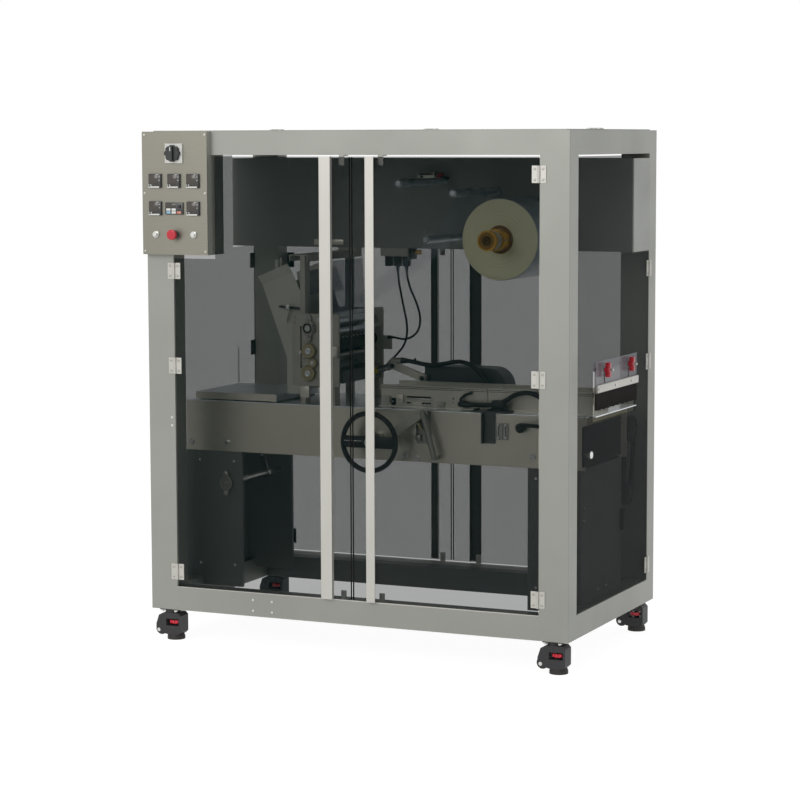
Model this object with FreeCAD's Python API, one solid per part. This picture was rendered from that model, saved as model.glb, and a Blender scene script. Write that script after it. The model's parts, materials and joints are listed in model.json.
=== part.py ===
import FreeCAD
import Part
import math
import os
from FreeCAD import Vector

# A guarded shrink wrapping machine: a welded frame on levelling casters, hinged clear doors,
# an upper cabinet that carries the film roll, and a conveyor with its film head between two pedestals.
# Millimetres. While it is drawn, X runs right from the left outer face, Y back from the front face
# and Z up from a level just above the floor, on which the deck and frame heights were taken.
# At the end everything moves so that the origin is the bottom centre, on the floor.

# Welded frame
frame_width = 1592.0
frame_depth = 885.0
frame_height = 1700.0
frame_bottom = 98.0
caster_height = 113.0
post_width = 106.0
post_depth = 78.0
beam_height = 82.0
side_beam_width = 78.0
post_edge_radius = 3.0
base_rail_depth = 59.0
roof_thickness = 3.0
roof_inset = 20.0
roof_hinge_line = 689.0
roof_hinge_places = (165.0, 796.0, 1428.0)
roof_hinge_width = 55.0
roof_hinge_leaf = 20.0
roof_hinge_thickness = 3.0

# Doors and their hinges
pane_thickness = 8.0
pane_gap = 5.0
meeting_gap = 5.0
hinge_leaf_width = 25.0
hinge_height = 57.0
hinge_leaf_thickness = 2.5
hinge_knuckle_radius = 4.5
hinge_pin_radius = 2.0
hinge_pin_clearance = 0.05
hinge_axial_clearance = 0.3
hinge_end_inset = 52.0
hinge_top_inset = 58.0
front_middle_hinge_rise = 790.0
rear_middle_hinge_rise = 575.0
grip_proud = 16.0
grip_thickness = 3.0
wide_grip_width = 42.0
narrow_grip_width = 32.0
wide_grip_offset = 69.0
narrow_grip_offset = 62.0
stop_width = 20.0
stop_height = 35.0
stop_thickness = 3.0
stop_foot_length = 32.0
stop_clearance = 0.5
stop_offsets = (-46.0, 100.0)

# Upper cabinet
cabinet_depth = 167.0
cabinet_height = 328.0
cabinet_top_gap = 16.0
cabinet_cover_proud = 2.0
cabinet_cover_margin = 30.0

# Control box
control_width = 259.0
control_height = 430.0
control_proud = 28.0
control_plate_thickness = 3.0
control_depth = 90.0
control_notch_gap = 14.0
control_corner_radius = 3.0
gauge_size = 49.0
gauge_proud = 8.0
gauge_pitch = 75.5
gauge_upper_drop = 172.0
gauge_row_pitch = 96.0
keypad_width = 71.0
keypad_height = 42.0
keypad_proud = 5.0
switch_plate_size = 68.0
switch_plate_proud = 6.0
switch_drop = 76.0
switch_knob_radius = 29.0
switch_knob_depth = 24.0
switch_lobes = 8
switch_stud_radius = 5.0
switch_stud_length = 12.0
button_rise = 71.0
button_collar_radius = 12.0
button_collar_proud = 5.0
button_radius = 9.0
button_proud = 11.0
stop_collar_radius = 15.0
stop_collar_proud = 8.0
stop_stem_radius = 9.0
stop_head_radius = 18.0
stop_head_thickness = 12.0
stop_head_gap = 12.0
stop_travel = 5.0
slide_clearance = 0.3

# Conveyor
conveyor_left = 20.0
conveyor_right_gap = 27.0
conveyor_front = 235.0
conveyor_back_gap = 230.0
skirt_bottom = 646.0
skirt_thickness = 3.0
deck_top = 830.0
deck_thickness = 4.0
infeed_left = 56.0
infeed_right = 385.0
infeed_front = 240.0
infeed_back_gap = 74.0
infeed_height = 25.0
infeed_foot_height = 4.0
infeed_foot_radius = 8.0
tray_reach = 8.0
tray_thickness = 3.0
tray_length = 130.0
end_plate_thickness = 6.0
end_plate_bottom = 663.0
end_plate_top = 800.0
end_plate_front = 198.0
end_plate_back_gap = 79.0

# Pedestals
pedestal_outer = 45.0
pedestal_width = 195.0
pedestal_front_gap = 5.0
pedestal_sheet = 3.0
pedestal_flange = 15.0
pedestal_hang = 30.0
lift_shaft_x = 182.0
lift_shaft_z = 530.0
lift_shaft_radius = 9.0
lift_shaft_end = 6.0
lift_lever_tip = (162.0, 595.0)
lift_lever_width = 24.0
lift_lever_thickness = 8.0
lift_lever_inset = 104.0
flange_bearing_height = 94.0
flange_bearing_radius = 26.0
flange_bearing_thickness = 12.0
flange_lug_radius = 11.0

# Film head between the deck and the cabinet: side plates on uprights, a tie channel and four rollers
head_left = 456.0
head_right = 640.0
head_bottom = 897.0
head_top = 1155.0
head_plate_thickness = 10.0
head_front = 228.0
head_back_gap = 47.0
head_plate_radius = 4.0
upright_width = 19.0
upright_depth = 40.0
upright_left = 484.0
right_leg_left = 600.0
tie_left = 441.0
tie_right = 513.0
tie_height = 24.0
tie_sheet = 3.0
tie_underside = 1338.0
tie_overlap = 50.0
head_slot_x = 492.0
head_slot_width = 8.0
head_slot_bottom = 964.0
head_slot_top = 1107.0
clamp_knob_radius = 7.0
clamp_knob_height = 1017.0
journal_radius = 9.0
top_roller = (564.0, 1134.0, 18.0)
pull_roller = (526.0, 1104.0, 17.0)
toothed_roller = (526.0, 1023.0, 35.0)
lower_roller = (524.0, 943.0, 26.0)
roller_set_back = 8.0
tooth_count = 14
tooth_depth = 5.0
gear_radius = 25.0
idler_radius = 16.0
idler_place = (542.0, 981.0)
gear_thickness = 12.0
gear_gap = 3.0
sealing_bar_left = 562.0
sealing_bar_right = 632.0
sealing_bar_height = 46.0

# Chute that leads the film into the head, between two slanted side plates
chute_back_gap = 35.0
chute_sheet = 3.0
chute_left_top = (312.0, 1252.0)
chute_right_top = (431.0, 1300.0)
chute_left_knee = (410.0, 990.0)
chute_bottom = 861.0
chute_lip_height = 33.0
chute_lip_angle = 25.0
chute_right_knee = 1150.0

# Junction box under the cabinet, with three plugs and a gland
junction_left = 612.0
junction_right = 722.0
junction_set_back = 2.0
junction_depth = 60.0
junction_height = 30.0
plug_centres = (634.0, 669.0, 704.0)
plug_width = 25.0
plug_height = 37.0
plug_corner_radius = 4.0
gland_radius = 9.0
gland_length = 40.0

# Side guides along the deck, the bracket and the plate hinge on the front skirt
guide_left = 764.0
guide_right_gap = 5.0
guide_seam = 1172.0
guide_seam_gap = 3.0
front_guide = 318.0
back_guide = 480.0
guide_sheet = 6.0
guide_height = 58.0
guide_rail_width = 20.0
guide_rail_height = 17.0
shelf_left = 1139.0
shelf_right = 1277.0
shelf_depth = 60.0
shelf_thickness = 5.0
angle_left = 1189.0
angle_right = 1236.0
angle_bottom = 724.0
angle_sheet = 4.0
skirt_hinge_left = 1232.0
skirt_hinge_right = 1283.0
skirt_hinge_bottom = 739.0
skirt_hinge_top = 797.0
skirt_hinge_thickness = 4.0
cable_gland_x = 1334.0
cable_gland_z = 785.0
cable_gland_radius = 17.0
cable_gland_length = 26.0

# Release lever in front of the skirt
lever_low = (880.0, 762.0)
lever_high = (976.0, 826.0)
lever_width = 30.0
lever_front = 206.0
lever_thickness = 8.0
strut_low = (1022.0, 664.0)
strut_radius = 10.0
pivot_radius = 6.0
lever_bracket_left = 940.0
lever_bracket_right = 992.0
lever_bracket_bottom = 712.0

# Sealing arm over the deck, and the cover of its motor
cover_left = 832.0
cover_right = 1148.0
cover_front = 545.0
cover_back_gap = 15.0
cover_top = 953.0
cover_radius = 70.0
arm_pivot = (838.0, 912.0)
arm_elbow = (722.0, 953.0)
arm_tip = (640.0, 930.0)
arm_front = 508.0
arm_back = 530.0
arm_width = 26.0
arm_sheet = 6.0
arm_rod_radius = 12.0
arm_pin_radius = 8.0

# Sockets and clamps that the cables end in
socket_radius = 7.0
elbow_socket_reach = 30.0
elbow_socket_height = 972.0
elbow_socket_radius = 10.0
beam_socket_start = (690.0, 519.0, 946.0)
beam_socket_end = (702.0, 530.0, 964.0)
plate_socket_height = 1048.0
plate_socket_reach = 20.0
plate_bracket_reach = 34.0
plate_bracket_bottom = 1004.0
boot_x = 1082.0
boot_y = 285.0
boot_z = 850.0
boot_reach = 18.0
boot_radius = 10.0
deck_gland_radius = 14.0
front_deck_gland = (1417.0, 282.0, 855.0)
rear_deck_gland = (1138.0, 516.0, 854.0)

# Cables: how thick they are, and the points that their routes follow
thin_cable_radius = 4.0
loom_radius = 8.0
cable_arc_share = 0.45
cable_left_route = [
    (669, 672, 1305), (669, 672, 1270), (680, 668, 1215), (700, 656, 1150), (720, 640, 1095),
    (730, 616, 1052), (732, 583, 1018), (720, 546.5, 991), (702, 530, 964),
]
cable_right_route = [
    (704, 672, 1305), (704, 672, 1272), (720, 669, 1222), (748, 663, 1172), (768, 655, 1118),
    (766, 643, 1074), (746, 627, 1048), (718, 610, 1040), (690, 603, 1048), (660, 603, 1048),
]
arm_loom_route = [
    (752, 519, 972), (788, 519, 972), (834, 521, 961), (878, 523, 958), (922, 525, 966),
    (966, 526, 976), (1004, 525, 972), (1038, 523, 956), (1066, 520, 930), (1091, 518, 902),
    (1115, 516, 877), (1138, 516, 854),
]
deck_loom_route = [
    (1100, 285, 850), (1138, 285, 850), (1182, 284.6, 850), (1222, 284, 855), (1253, 283, 868),
    (1279, 282.5, 887), (1308, 282, 898), (1339, 282, 900), (1369, 282, 892), (1396, 282, 876),
    (1417, 282, 855),
]

# Guide rollers, film roll and its spindle
roller_radius = 14.0
roller_front = 232.0
roller_rear_gap = 3.0
roller_lines = (1075.0, 869.0, 972.0)
roller_drops = (117.0, 83.0, 278.0)
roller_stud_radius = 5.0
roller_stud_length = 60.0
roller_boss_radius = 11.0
roller_clearance = 0.05
film_axis_x = 1215.0
film_axis_drop = 277.0
film_radius = 142.0
film_front = 320.0
film_back_gap = 20.0
mandrel_radius = 38.0
mandrel_front = 200.0
mandrel_back_gap = 10.0
spindle_stud_radius = 12.0
spindle_stud_length = 120.0
spindle_boss_radius = 30.0
spindle_flange_radius = 60.0
spindle_flange_thickness = 6.0

# Handwheel
wheel_x = 788.0
wheel_z = 716.0
wheel_y = 162.0
wheel_radius = 110.0
wheel_rim_radius = 9.0
wheel_bar_height = 42.0
wheel_bar_thickness = 12.0
wheel_hub_radius = 22.0
wheel_hub_length = 40.0
wheel_shaft_radius = 10.0
wheel_shaft_clearance = 0.05
wheel_bearing_radius = 30.0
wheel_bearing_length = 30.0

# Levelling casters, measured from the floor and from the middle of the top plate
caster_plate_size = 70.0
caster_plate_thickness = 5.0
caster_inset_x = 62.0
caster_inset_y = 42.0
caster_neck_radius = 27.0
caster_neck_height = 11.0
caster_body_width = 58.0
caster_body_bottom = 18.0
caster_body_reach = 46.0
caster_wheel_radius = 21.0
caster_wheel_width = 24.0
caster_wheel_offset = 42.0
caster_axle_height = 33.0
caster_axle_radius = 5.0
caster_axle_clearance = 0.05
caster_wheel_room = 6.0
caster_pad_radius = 32.0
caster_pad_height = 14.0
caster_pad_offset = 13.0
caster_stem_radius = 9.0
caster_nut_radius = 20.0
caster_window_bottom = 50.0
caster_window_top = 75.0
caster_window_margin = 5.0
caster_window_wall = 8.0
caster_nut_height = 12.0
caster_chamfer = 10.0
caster_shoulder = 20.0
caster_plate_radius = 4.0
caster_side_gap = 2.0
caster_tread_radius = 3.0
caster_pad_edge = 5.0

# Outlet guard on the right side door
outlet_front = 228.0
outlet_back_gap = 135.0
outlet_bottom = 812.0
outlet_top = 985.0
guard_front = 243.0
guard_back_gap = 142.0
guard_height = 106.0
guard_strip_bottom = 912.0
guard_strip_height = 26.0
guard_strip_thickness = 8.0
guard_plate_thickness = 5.0
brush_bottom = 842.0
knob_places = (330.0, 578.0)
knob_drop = 33.0
knob_hub_radius = 8.0
knob_wing_span = 52.0
knob_wing_height = 20.0
knob_wing_gap = 6.0
guard_slot_width = 10.0
guard_slot_length = 45.0
guard_slot_end = 12.0

# Drive at the right-hand end
pulley_inset = 42.0
pulley_width = 22.0
upper_pulley_out = 77.0
upper_pulley_drop = 95.0
upper_pulley_radius = 50.0
lower_pulley_out = 45.0
lower_pulley_drop = 319.0
lower_pulley_radius = 43.0
belt_thickness = 5.0
belt_width = 16.0
pulley_flange = 3.0
drive_shaft_radius = 10.0
bearing_arm_thickness = 14.0
bearing_arm_height = 70.0
motor_radius = 42.0
motor_length = 130.0
motor_foot_height = 60.0

# What follows from the sizes above
floor = frame_bottom - caster_height
frame_top = frame_bottom + frame_height
lower_beam_top = frame_bottom + beam_height
upper_beam_bottom = frame_top - beam_height
rear_post_front = frame_depth - post_depth
right_post_left = frame_width - post_width
centre_x = frame_width / 2
pane_bottom = lower_beam_top + pane_gap
pane_top = upper_beam_bottom - pane_gap
cabinet_top = upper_beam_bottom - cabinet_top_gap
cabinet_bottom = cabinet_top - cabinet_height
cabinet_front = rear_post_front - cabinet_depth
control_bottom = frame_top - control_height
gauge_upper_row = frame_top - gauge_upper_drop
gauge_lower_row = gauge_upper_row - gauge_row_pitch
switch_plate_height = frame_top - switch_drop
button_row = control_bottom + button_rise
rear_pane_top = cabinet_bottom - pane_gap
lowest_hinge = pane_bottom + hinge_end_inset
middle_hinge = pane_bottom + front_middle_hinge_rise
left_top_hinge = control_bottom - hinge_top_inset
right_top_hinge = pane_top - hinge_top_inset
rear_middle_hinge = pane_bottom + rear_middle_hinge_rise
rear_top_hinge = rear_pane_top - hinge_top_inset
conveyor_right = frame_width - conveyor_right_gap
conveyor_back = frame_depth - conveyor_back_gap
infeed_back = conveyor_back - infeed_back_gap
tray_left = frame_width + tray_reach - tray_length
end_plate_back = conveyor_back - end_plate_back_gap
pedestal_front = conveyor_front + pedestal_front_gap
pedestal_back = conveyor_back
head_back = conveyor_back - head_back_gap
upright_front = head_front + head_plate_thickness
chute_front = upright_front + upright_depth
chute_back = head_back - head_plate_thickness - chute_back_gap
junction_front = cabinet_front + junction_set_back
junction_back = junction_front + junction_depth
roller_heights = [cabinet_top - drop for drop in roller_drops]
film_axis_z = cabinet_top - film_axis_drop
film_back = cabinet_front - film_back_gap
mandrel_back = cabinet_front - mandrel_back_gap
cover_back = conveyor_back - cover_back_gap
guide_right = conveyor_right - guide_right_gap
outlet_back = rear_post_front - outlet_back_gap
guard_back = rear_post_front - guard_back_gap
guard_top = guard_strip_bottom + guard_height
knob_height = guard_top - knob_drop
pulley_x = frame_width - pulley_inset
upper_pulley = (conveyor_back + upper_pulley_out, deck_top - upper_pulley_drop, upper_pulley_radius)
lower_pulley = (conveyor_back + lower_pulley_out, deck_top - lower_pulley_drop, lower_pulley_radius)
control_face = -control_proud
deck_underside = deck_top - deck_thickness
roof_top = frame_top + roof_thickness
side_knob_reach = 32.0

# How far the machine reaches on each side, which puts the origin at the bottom centre
front_reach = control_proud + stop_collar_proud + stop_head_gap + stop_head_thickness
rear_reach = grip_proud
left_reach = 2 * hinge_knuckle_radius
right_reach = guard_plate_thickness + side_knob_reach
origin = Vector(
    (frame_width + right_reach - left_reach) / 2,
    (frame_depth + rear_reach - front_reach) / 2,
    floor,
)

nodes = {}


def add(name, *shapes):
    """Put solids in a named node."""
    nodes.setdefault(name, []).extend(shapes)


def block(x0, x1, y0, y1, z0, z1):
    """Box between two corners."""
    return Part.makeBox(x1 - x0, y1 - y0, z1 - z0, Vector(x0, y0, z0))


def rod(radius, start, end):
    """Round bar from one point to another."""
    way = end - start
    return Part.makeCylinder(radius, way.Length, start, way)


def rod_y(radius, x, z, y0, y1):
    """Round bar along Y."""
    return rod(radius, Vector(x, y0, z), Vector(x, y1, z))


def plate_xz(points, y0, y1):
    """Plate with an outline in X and Z, from y0 to y1."""
    corners = [Vector(x, y0, z) for x, z in points]
    return Part.Face(Part.makePolygon(corners + corners[:1])).extrude(Vector(0, y1 - y0, 0))


def plate_yz(points, x0, x1):
    """Plate with an outline in Y and Z, from x0 to x1."""
    corners = [Vector(x0, y, z) for y, z in points]
    return Part.Face(Part.makePolygon(corners + corners[:1])).extrude(Vector(x1 - x0, 0, 0))


def edges_along(shape, axis, test=None):
    """Straight edges that run along one axis, and pass a test on their middle point."""
    found = []
    for edge in shape.Edges:
        ends = edge.Vertexes
        if len(ends) != 2:
            continue
        way = ends[1].Point - ends[0].Point
        if way.Length > 0 and abs(abs(way.normalize().dot(axis)) - 1) < 1e-6:
            middle = (ends[0].Point + ends[1].Point) * 0.5
            if test is None or test(middle):
                found.append(edge)
    return found


def fuse(first, *others):
    """One solid of several that overlap or touch."""
    return first.fuse(list(others)).removeSplitter()


# Hinges: each is drawn about its own axis and then turned to its face
def hinge_fixed_leaf():
    """Leaf with the two outer knuckles and the pin, on the side of -X and facing -Y."""
    radius = hinge_knuckle_radius
    knuckle = hinge_height / 3
    leaf = block(-hinge_leaf_width, 0, radius - hinge_leaf_thickness, radius,
                 -hinge_height / 2, hinge_height / 2)
    room = block(-radius - slide_clearance, radius, -radius, radius + 1,
                 -knuckle / 2 - hinge_axial_clearance, knuckle / 2 + hinge_axial_clearance)
    leaf = leaf.cut(room)
    lower = rod(radius, Vector(0, 0, -hinge_height / 2), Vector(0, 0, -knuckle / 2 - hinge_axial_clearance))
    upper = rod(radius, Vector(0, 0, knuckle / 2 + hinge_axial_clearance), Vector(0, 0, hinge_height / 2))
    pin = rod(hinge_pin_radius, Vector(0, 0, -hinge_height / 2), Vector(0, 0, hinge_height / 2))
    return fuse(leaf, lower, upper, pin)


def hinge_moving_leaf():
    """Leaf with the bored middle knuckle, on the side of +X and facing -Y."""
    radius = hinge_knuckle_radius
    knuckle = hinge_height / 3
    leaf = block(0, hinge_leaf_width, radius - hinge_leaf_thickness, radius,
                 -hinge_height / 2, hinge_height / 2)
    for low, high in ((-hinge_height, -knuckle / 2), (knuckle / 2, hinge_height)):
        leaf = leaf.cut(block(-radius, radius + slide_clearance, -radius, radius + 1, low, high))
    middle = rod(radius, Vector(0, 0, -knuckle / 2), Vector(0, 0, knuckle / 2))
    bore = rod(hinge_pin_radius + hinge_pin_clearance, Vector(0, 0, -hinge_height),
               Vector(0, 0, hinge_height))
    return fuse(leaf, middle).cut(bore)


def turned(shape, mirrored, angle, x, y, z):
    """Copy of a hinge part, mirrored or not, turned about Z and set down."""
    copy = shape.mirror(Vector(0, 0, 0), Vector(1, 0, 0)) if mirrored else shape.copy()
    copy.rotate(Vector(0, 0, 0), Vector(0, 0, 1), angle)
    copy.translate(Vector(x, y, z))
    return copy


def hang(door, mirrored, angle, x, y, heights):
    """Hinges of one door: fixed leaves on the frame, moving leaves on the door."""
    for height in heights:
        add("door_hardware", turned(hinge_fixed_leaf(), mirrored, angle, x, y, height))
        add(door + "_fittings", turned(hinge_moving_leaf(), mirrored, angle, x, y, height))


def make_frame():
    """Four posts, eight beams, the rear base rail and the roof sheet."""
    for x in (0, right_post_left):
        for y in (0, rear_post_front):
            post = block(x, x + post_width, y, y + post_depth, frame_bottom, frame_top)
            corner_x = 0 if x == 0 else frame_width
            corner_y = 0 if y == 0 else frame_depth
            outer = edges_along(post, Vector(0, 0, 1),
                                lambda p: abs(p.x - corner_x) < 1e-6 and abs(p.y - corner_y) < 1e-6)
            add("frame_posts", post.makeFillet(post_edge_radius, outer))
    for z in (frame_bottom, upper_beam_bottom):
        for y in (0, rear_post_front):
            add("frame_beams", block(post_width, right_post_left, y, y + post_depth, z, z + beam_height))
        for x in (0, frame_width - side_beam_width):
            add("frame_beams", block(x, x + side_beam_width, post_depth, rear_post_front, z, z + beam_height))
    add("base_rail", block(side_beam_width, frame_width - side_beam_width,
                           rear_post_front - base_rail_depth, rear_post_front, frame_bottom, lower_beam_top))
    sheet = block(roof_inset, frame_width - roof_inset, roof_inset, frame_depth - roof_inset,
                  frame_top, roof_top)
    add("roof_panel", fuse(sheet, *[roof_hinge(x) for x in roof_hinge_places]))


def roof_hinge(x):
    """Flat hinge of the roof lid: two leaves and a knuckle across the machine."""
    half = roof_hinge_width / 2
    leaves = block(x - half, x + half, roof_hinge_line - roof_hinge_leaf, roof_hinge_line + roof_hinge_leaf,
                   roof_top, roof_top + roof_hinge_thickness)
    z = roof_top + roof_hinge_thickness
    knuckle = rod(roof_hinge_thickness, Vector(x - half, roof_hinge_line, z),
                  Vector(x + half, roof_hinge_line, z))
    return fuse(leaves, knuckle)


def front_door(name, left, right, outline, mirrored, grip_x, grip_width, web_on_right, heights):
    """Front door: pane, full-height grip and three hinges."""
    pane = plate_xz(outline, 0, pane_thickness)
    add(name + "_pane", pane)
    add(name + "_fittings", grip(grip_x, grip_width, web_on_right, -grip_proud, 0, pane_bottom, pane_top))
    hinge_x = right + pane_gap / 2 if mirrored else left - pane_gap / 2
    hang(name, mirrored, 0, hinge_x, -hinge_knuckle_radius, heights)


def grip(x, width, web_on_right, face, seat, low, high):
    """Angle section grip: a flange off the pane, and a web that seats on it."""
    near, far = min(face, seat), max(face, seat)
    flange_low = face if face < seat else face - grip_thickness
    flange = block(x, x + width, flange_low, flange_low + grip_thickness, low, high)
    web_x = x + width - grip_thickness if web_on_right else x
    web = block(web_x, web_x + grip_thickness, near, far, low, high)
    return fuse(flange, web)


def make_front_doors():
    """Two clear doors that meet at the middle, the left one notched round the control box."""
    left = post_width + pane_gap
    right = right_post_left - pane_gap
    middle_left = centre_x - meeting_gap / 2
    middle_right = centre_x + meeting_gap / 2
    notch_x = control_width + control_notch_gap
    notch_z = control_bottom - control_notch_gap
    left_outline = [(left, pane_bottom), (middle_left, pane_bottom), (middle_left, pane_top),
                    (notch_x, pane_top), (notch_x, notch_z), (left, notch_z)]
    right_outline = [(middle_right, pane_bottom), (right, pane_bottom), (right, pane_top),
                     (middle_right, pane_top)]
    front_door("front_left_door", left, middle_left, left_outline, False,
               centre_x - wide_grip_offset - wide_grip_width, wide_grip_width, True,
               (lowest_hinge, middle_hinge, left_top_hinge))
    front_door("front_right_door", middle_right, right, right_outline, True,
               centre_x + narrow_grip_offset, narrow_grip_width, False,
               (lowest_hinge, middle_hinge, right_top_hinge))


def make_rear_doors():
    """Two clear doors below the upper cabinet, on the rear posts."""
    left = post_width + pane_gap
    right = right_post_left - pane_gap
    face = frame_depth
    for name, x0, x1, grip_x, width, on_right, mirrored, hinge_x in (
        ("rear_left_door", left, centre_x - meeting_gap / 2,
         centre_x - narrow_grip_offset - narrow_grip_width, narrow_grip_width, True, True,
         left - pane_gap / 2),
        ("rear_right_door", centre_x + meeting_gap / 2, right, centre_x + wide_grip_offset,
         wide_grip_width, False, False, right + pane_gap / 2),
    ):
        pane = block(x0, x1, face - pane_thickness, face, pane_bottom, rear_pane_top)
        add(name + "_pane", pane)
        add(name + "_fittings",
            grip(grip_x, width, on_right, face + grip_proud, face, pane_bottom, rear_pane_top))
        hang(name, mirrored, 180, hinge_x, face + hinge_knuckle_radius,
             (lowest_hinge, rear_middle_hinge, rear_top_hinge))


def make_side_doors():
    """Side doors on the rear posts, notched under the cabinet, with a way through for the goods."""
    front = post_depth + pane_gap
    back = rear_post_front - pane_gap
    notch_y = cabinet_front - control_notch_gap
    outline = [(front, pane_bottom), (back, pane_bottom), (back, rear_pane_top), (notch_y, rear_pane_top),
               (notch_y, pane_top), (front, pane_top)]
    for name, face, inner, mirrored, angle, side in (
        ("left_side_door", 0, pane_thickness, False, -90, -1),
        ("right_side_door", frame_width, frame_width - pane_thickness, True, 90, 1),
    ):
        low, high = min(face, inner), max(face, inner)
        pane = plate_yz(outline, low, high)
        way = block(low - 1, high + 1, outlet_front, outlet_back, outlet_bottom, outlet_top)
        add(name + "_pane", pane.cut(way))
        hang(name, mirrored, angle, face + side * hinge_knuckle_radius,
             rear_post_front - pane_gap / 2, (lowest_hinge, middle_hinge, rear_top_hinge))


def make_door_stops():
    """Small brackets that the closed doors rest against."""
    for offset in stop_offsets:
        x = centre_x + offset
        near = pane_thickness + stop_clearance
        for z, way in ((lower_beam_top, 1), (upper_beam_bottom, -1)):
            add("door_hardware", stop_bracket(x, near, 1, z, way))
        far = frame_depth - pane_thickness - stop_clearance
        for z, way in ((lower_beam_top, 1), (cabinet_bottom, -1)):
            add("door_hardware", stop_bracket(x, far, -1, z, way))


def stop_bracket(x, y, inward, z, way):
    """Bent strip: a tongue behind the pane and a foot on the beam."""
    tongue = plate_block(x, y, y + inward * stop_thickness, z, z + way * stop_height)
    foot = plate_block(x, y, y + inward * stop_foot_length, z, z + way * stop_thickness)
    return fuse(tongue, foot)


def plate_block(x, y0, y1, z0, z1):
    """Strip of the stop's width, with its limits in any order."""
    return block(x, x + stop_width, min(y0, y1), max(y0, y1), min(z0, z1), max(z0, z1))


def make_cabinet():
    """Closed upper cabinet that spans the frame between the rear posts."""
    body = block(0, frame_width, cabinet_front, rear_post_front, cabinet_bottom, cabinet_top)
    back = block(post_width, right_post_left, rear_post_front, frame_depth - cabinet_cover_proud,
                 cabinet_bottom, cabinet_top)
    cover = block(post_width + cabinet_cover_margin, right_post_left - cabinet_cover_margin,
                  frame_depth - cabinet_cover_proud, frame_depth,
                  cabinet_bottom + cabinet_cover_margin, cabinet_top - cabinet_cover_margin)
    add("upper_cabinet", fuse(body, back, cover))


def make_control_box():
    """Control box that wraps the front left post, its face plate and its instruments."""
    plate_back = control_face + control_plate_thickness
    face = block(0, control_width, plate_back, 0, control_bottom, frame_top)
    inner = block(post_width, control_width, 0, control_depth, control_bottom, upper_beam_bottom)
    add("control_box", fuse(face, inner))
    plate = block(0, control_width, control_face, plate_back, control_bottom, frame_top)
    corners = edges_along(plate, Vector(0, 1, 0))
    add("control_panel", plate.makeFillet(control_corner_radius, corners))
    middle = control_width / 2
    for row, columns in ((gauge_upper_row, (-1, 0, 1)), (gauge_lower_row, (-1, 1))):
        for column in columns:
            x = middle + column * gauge_pitch
            add("instruments", block(x - gauge_size / 2, x + gauge_size / 2, control_face - gauge_proud,
                                     control_face, row - gauge_size / 2, row + gauge_size / 2))
    add("instruments", block(middle - keypad_width / 2, middle + keypad_width / 2,
                             control_face - keypad_proud, control_face,
                             gauge_lower_row - keypad_height / 2, gauge_lower_row + keypad_height / 2))
    half = switch_plate_size / 2
    switch_face = control_face - switch_plate_proud
    plate = block(middle - half, middle + half, switch_face, control_face,
                  switch_plate_height - half, switch_plate_height + half)
    stud = rod_y(switch_stud_radius, middle, switch_plate_height, switch_face - switch_stud_length,
                 switch_face)
    add("instruments", fuse(plate, stud))
    for side in (-1, 1):
        x = middle + side * gauge_pitch
        collar = rod_y(button_collar_radius, x, button_row, control_face - button_collar_proud, control_face)
        cap = rod_y(button_radius, x, button_row, control_face - button_proud, control_face)
        add("instruments", fuse(collar, cap))
    collar = rod_y(stop_collar_radius, middle, button_row, control_face - stop_collar_proud, control_face)
    well = rod_y(stop_stem_radius + slide_clearance, middle, button_row,
                 control_face - stop_collar_proud, control_face)
    add("instruments", collar.cut(well))
    make_switch_knob(middle, switch_face)
    make_stop_button(middle)


def make_switch_knob(x, seat):
    """Scalloped rotary knob with a raised grip bar, on the switch's stud."""
    back = seat - slide_clearance
    front = back - switch_knob_depth * 0.6
    knob = rod_y(switch_knob_radius, x, switch_plate_height, front, back)
    for step in range(switch_lobes):
        angle = 2 * math.pi * (step + 0.5) / switch_lobes
        reach = switch_knob_radius * 1.12
        hollow = rod_y(switch_knob_radius * 0.24, x + reach * math.cos(angle),
                       switch_plate_height + reach * math.sin(angle), front - 1, back + 1)
        knob = knob.cut(hollow)
    half = switch_knob_radius * 0.86
    bar = block(x - switch_knob_radius * 0.25, x + switch_knob_radius * 0.25,
                back - switch_knob_depth, front, switch_plate_height - half, switch_plate_height + half)
    bore = rod_y(switch_stud_radius + hinge_pin_clearance, x, switch_plate_height,
                 seat - switch_stud_length - slide_clearance, back)
    add("main_switch_knob", fuse(knob, bar).cut(bore))


def make_stop_button(x):
    """Red mushroom button whose stem slides in its collar."""
    collar_face = control_face - stop_collar_proud
    head_back = collar_face - stop_head_gap
    head = rod_y(stop_head_radius, x, button_row, head_back - stop_head_thickness, head_back)
    rim = [edge for edge in head.Edges if abs(edge.BoundBox.YMin - (head_back - stop_head_thickness)) < 1e-6
           and abs(edge.BoundBox.YMax - edge.BoundBox.YMin) < 1e-6]
    head = head.makeFillet(stop_head_thickness * 0.4, rim)
    stem = rod_y(stop_stem_radius, x, button_row, head_back, control_face - stop_travel - slide_clearance)
    add("emergency_stop", fuse(head, stem))


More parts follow.
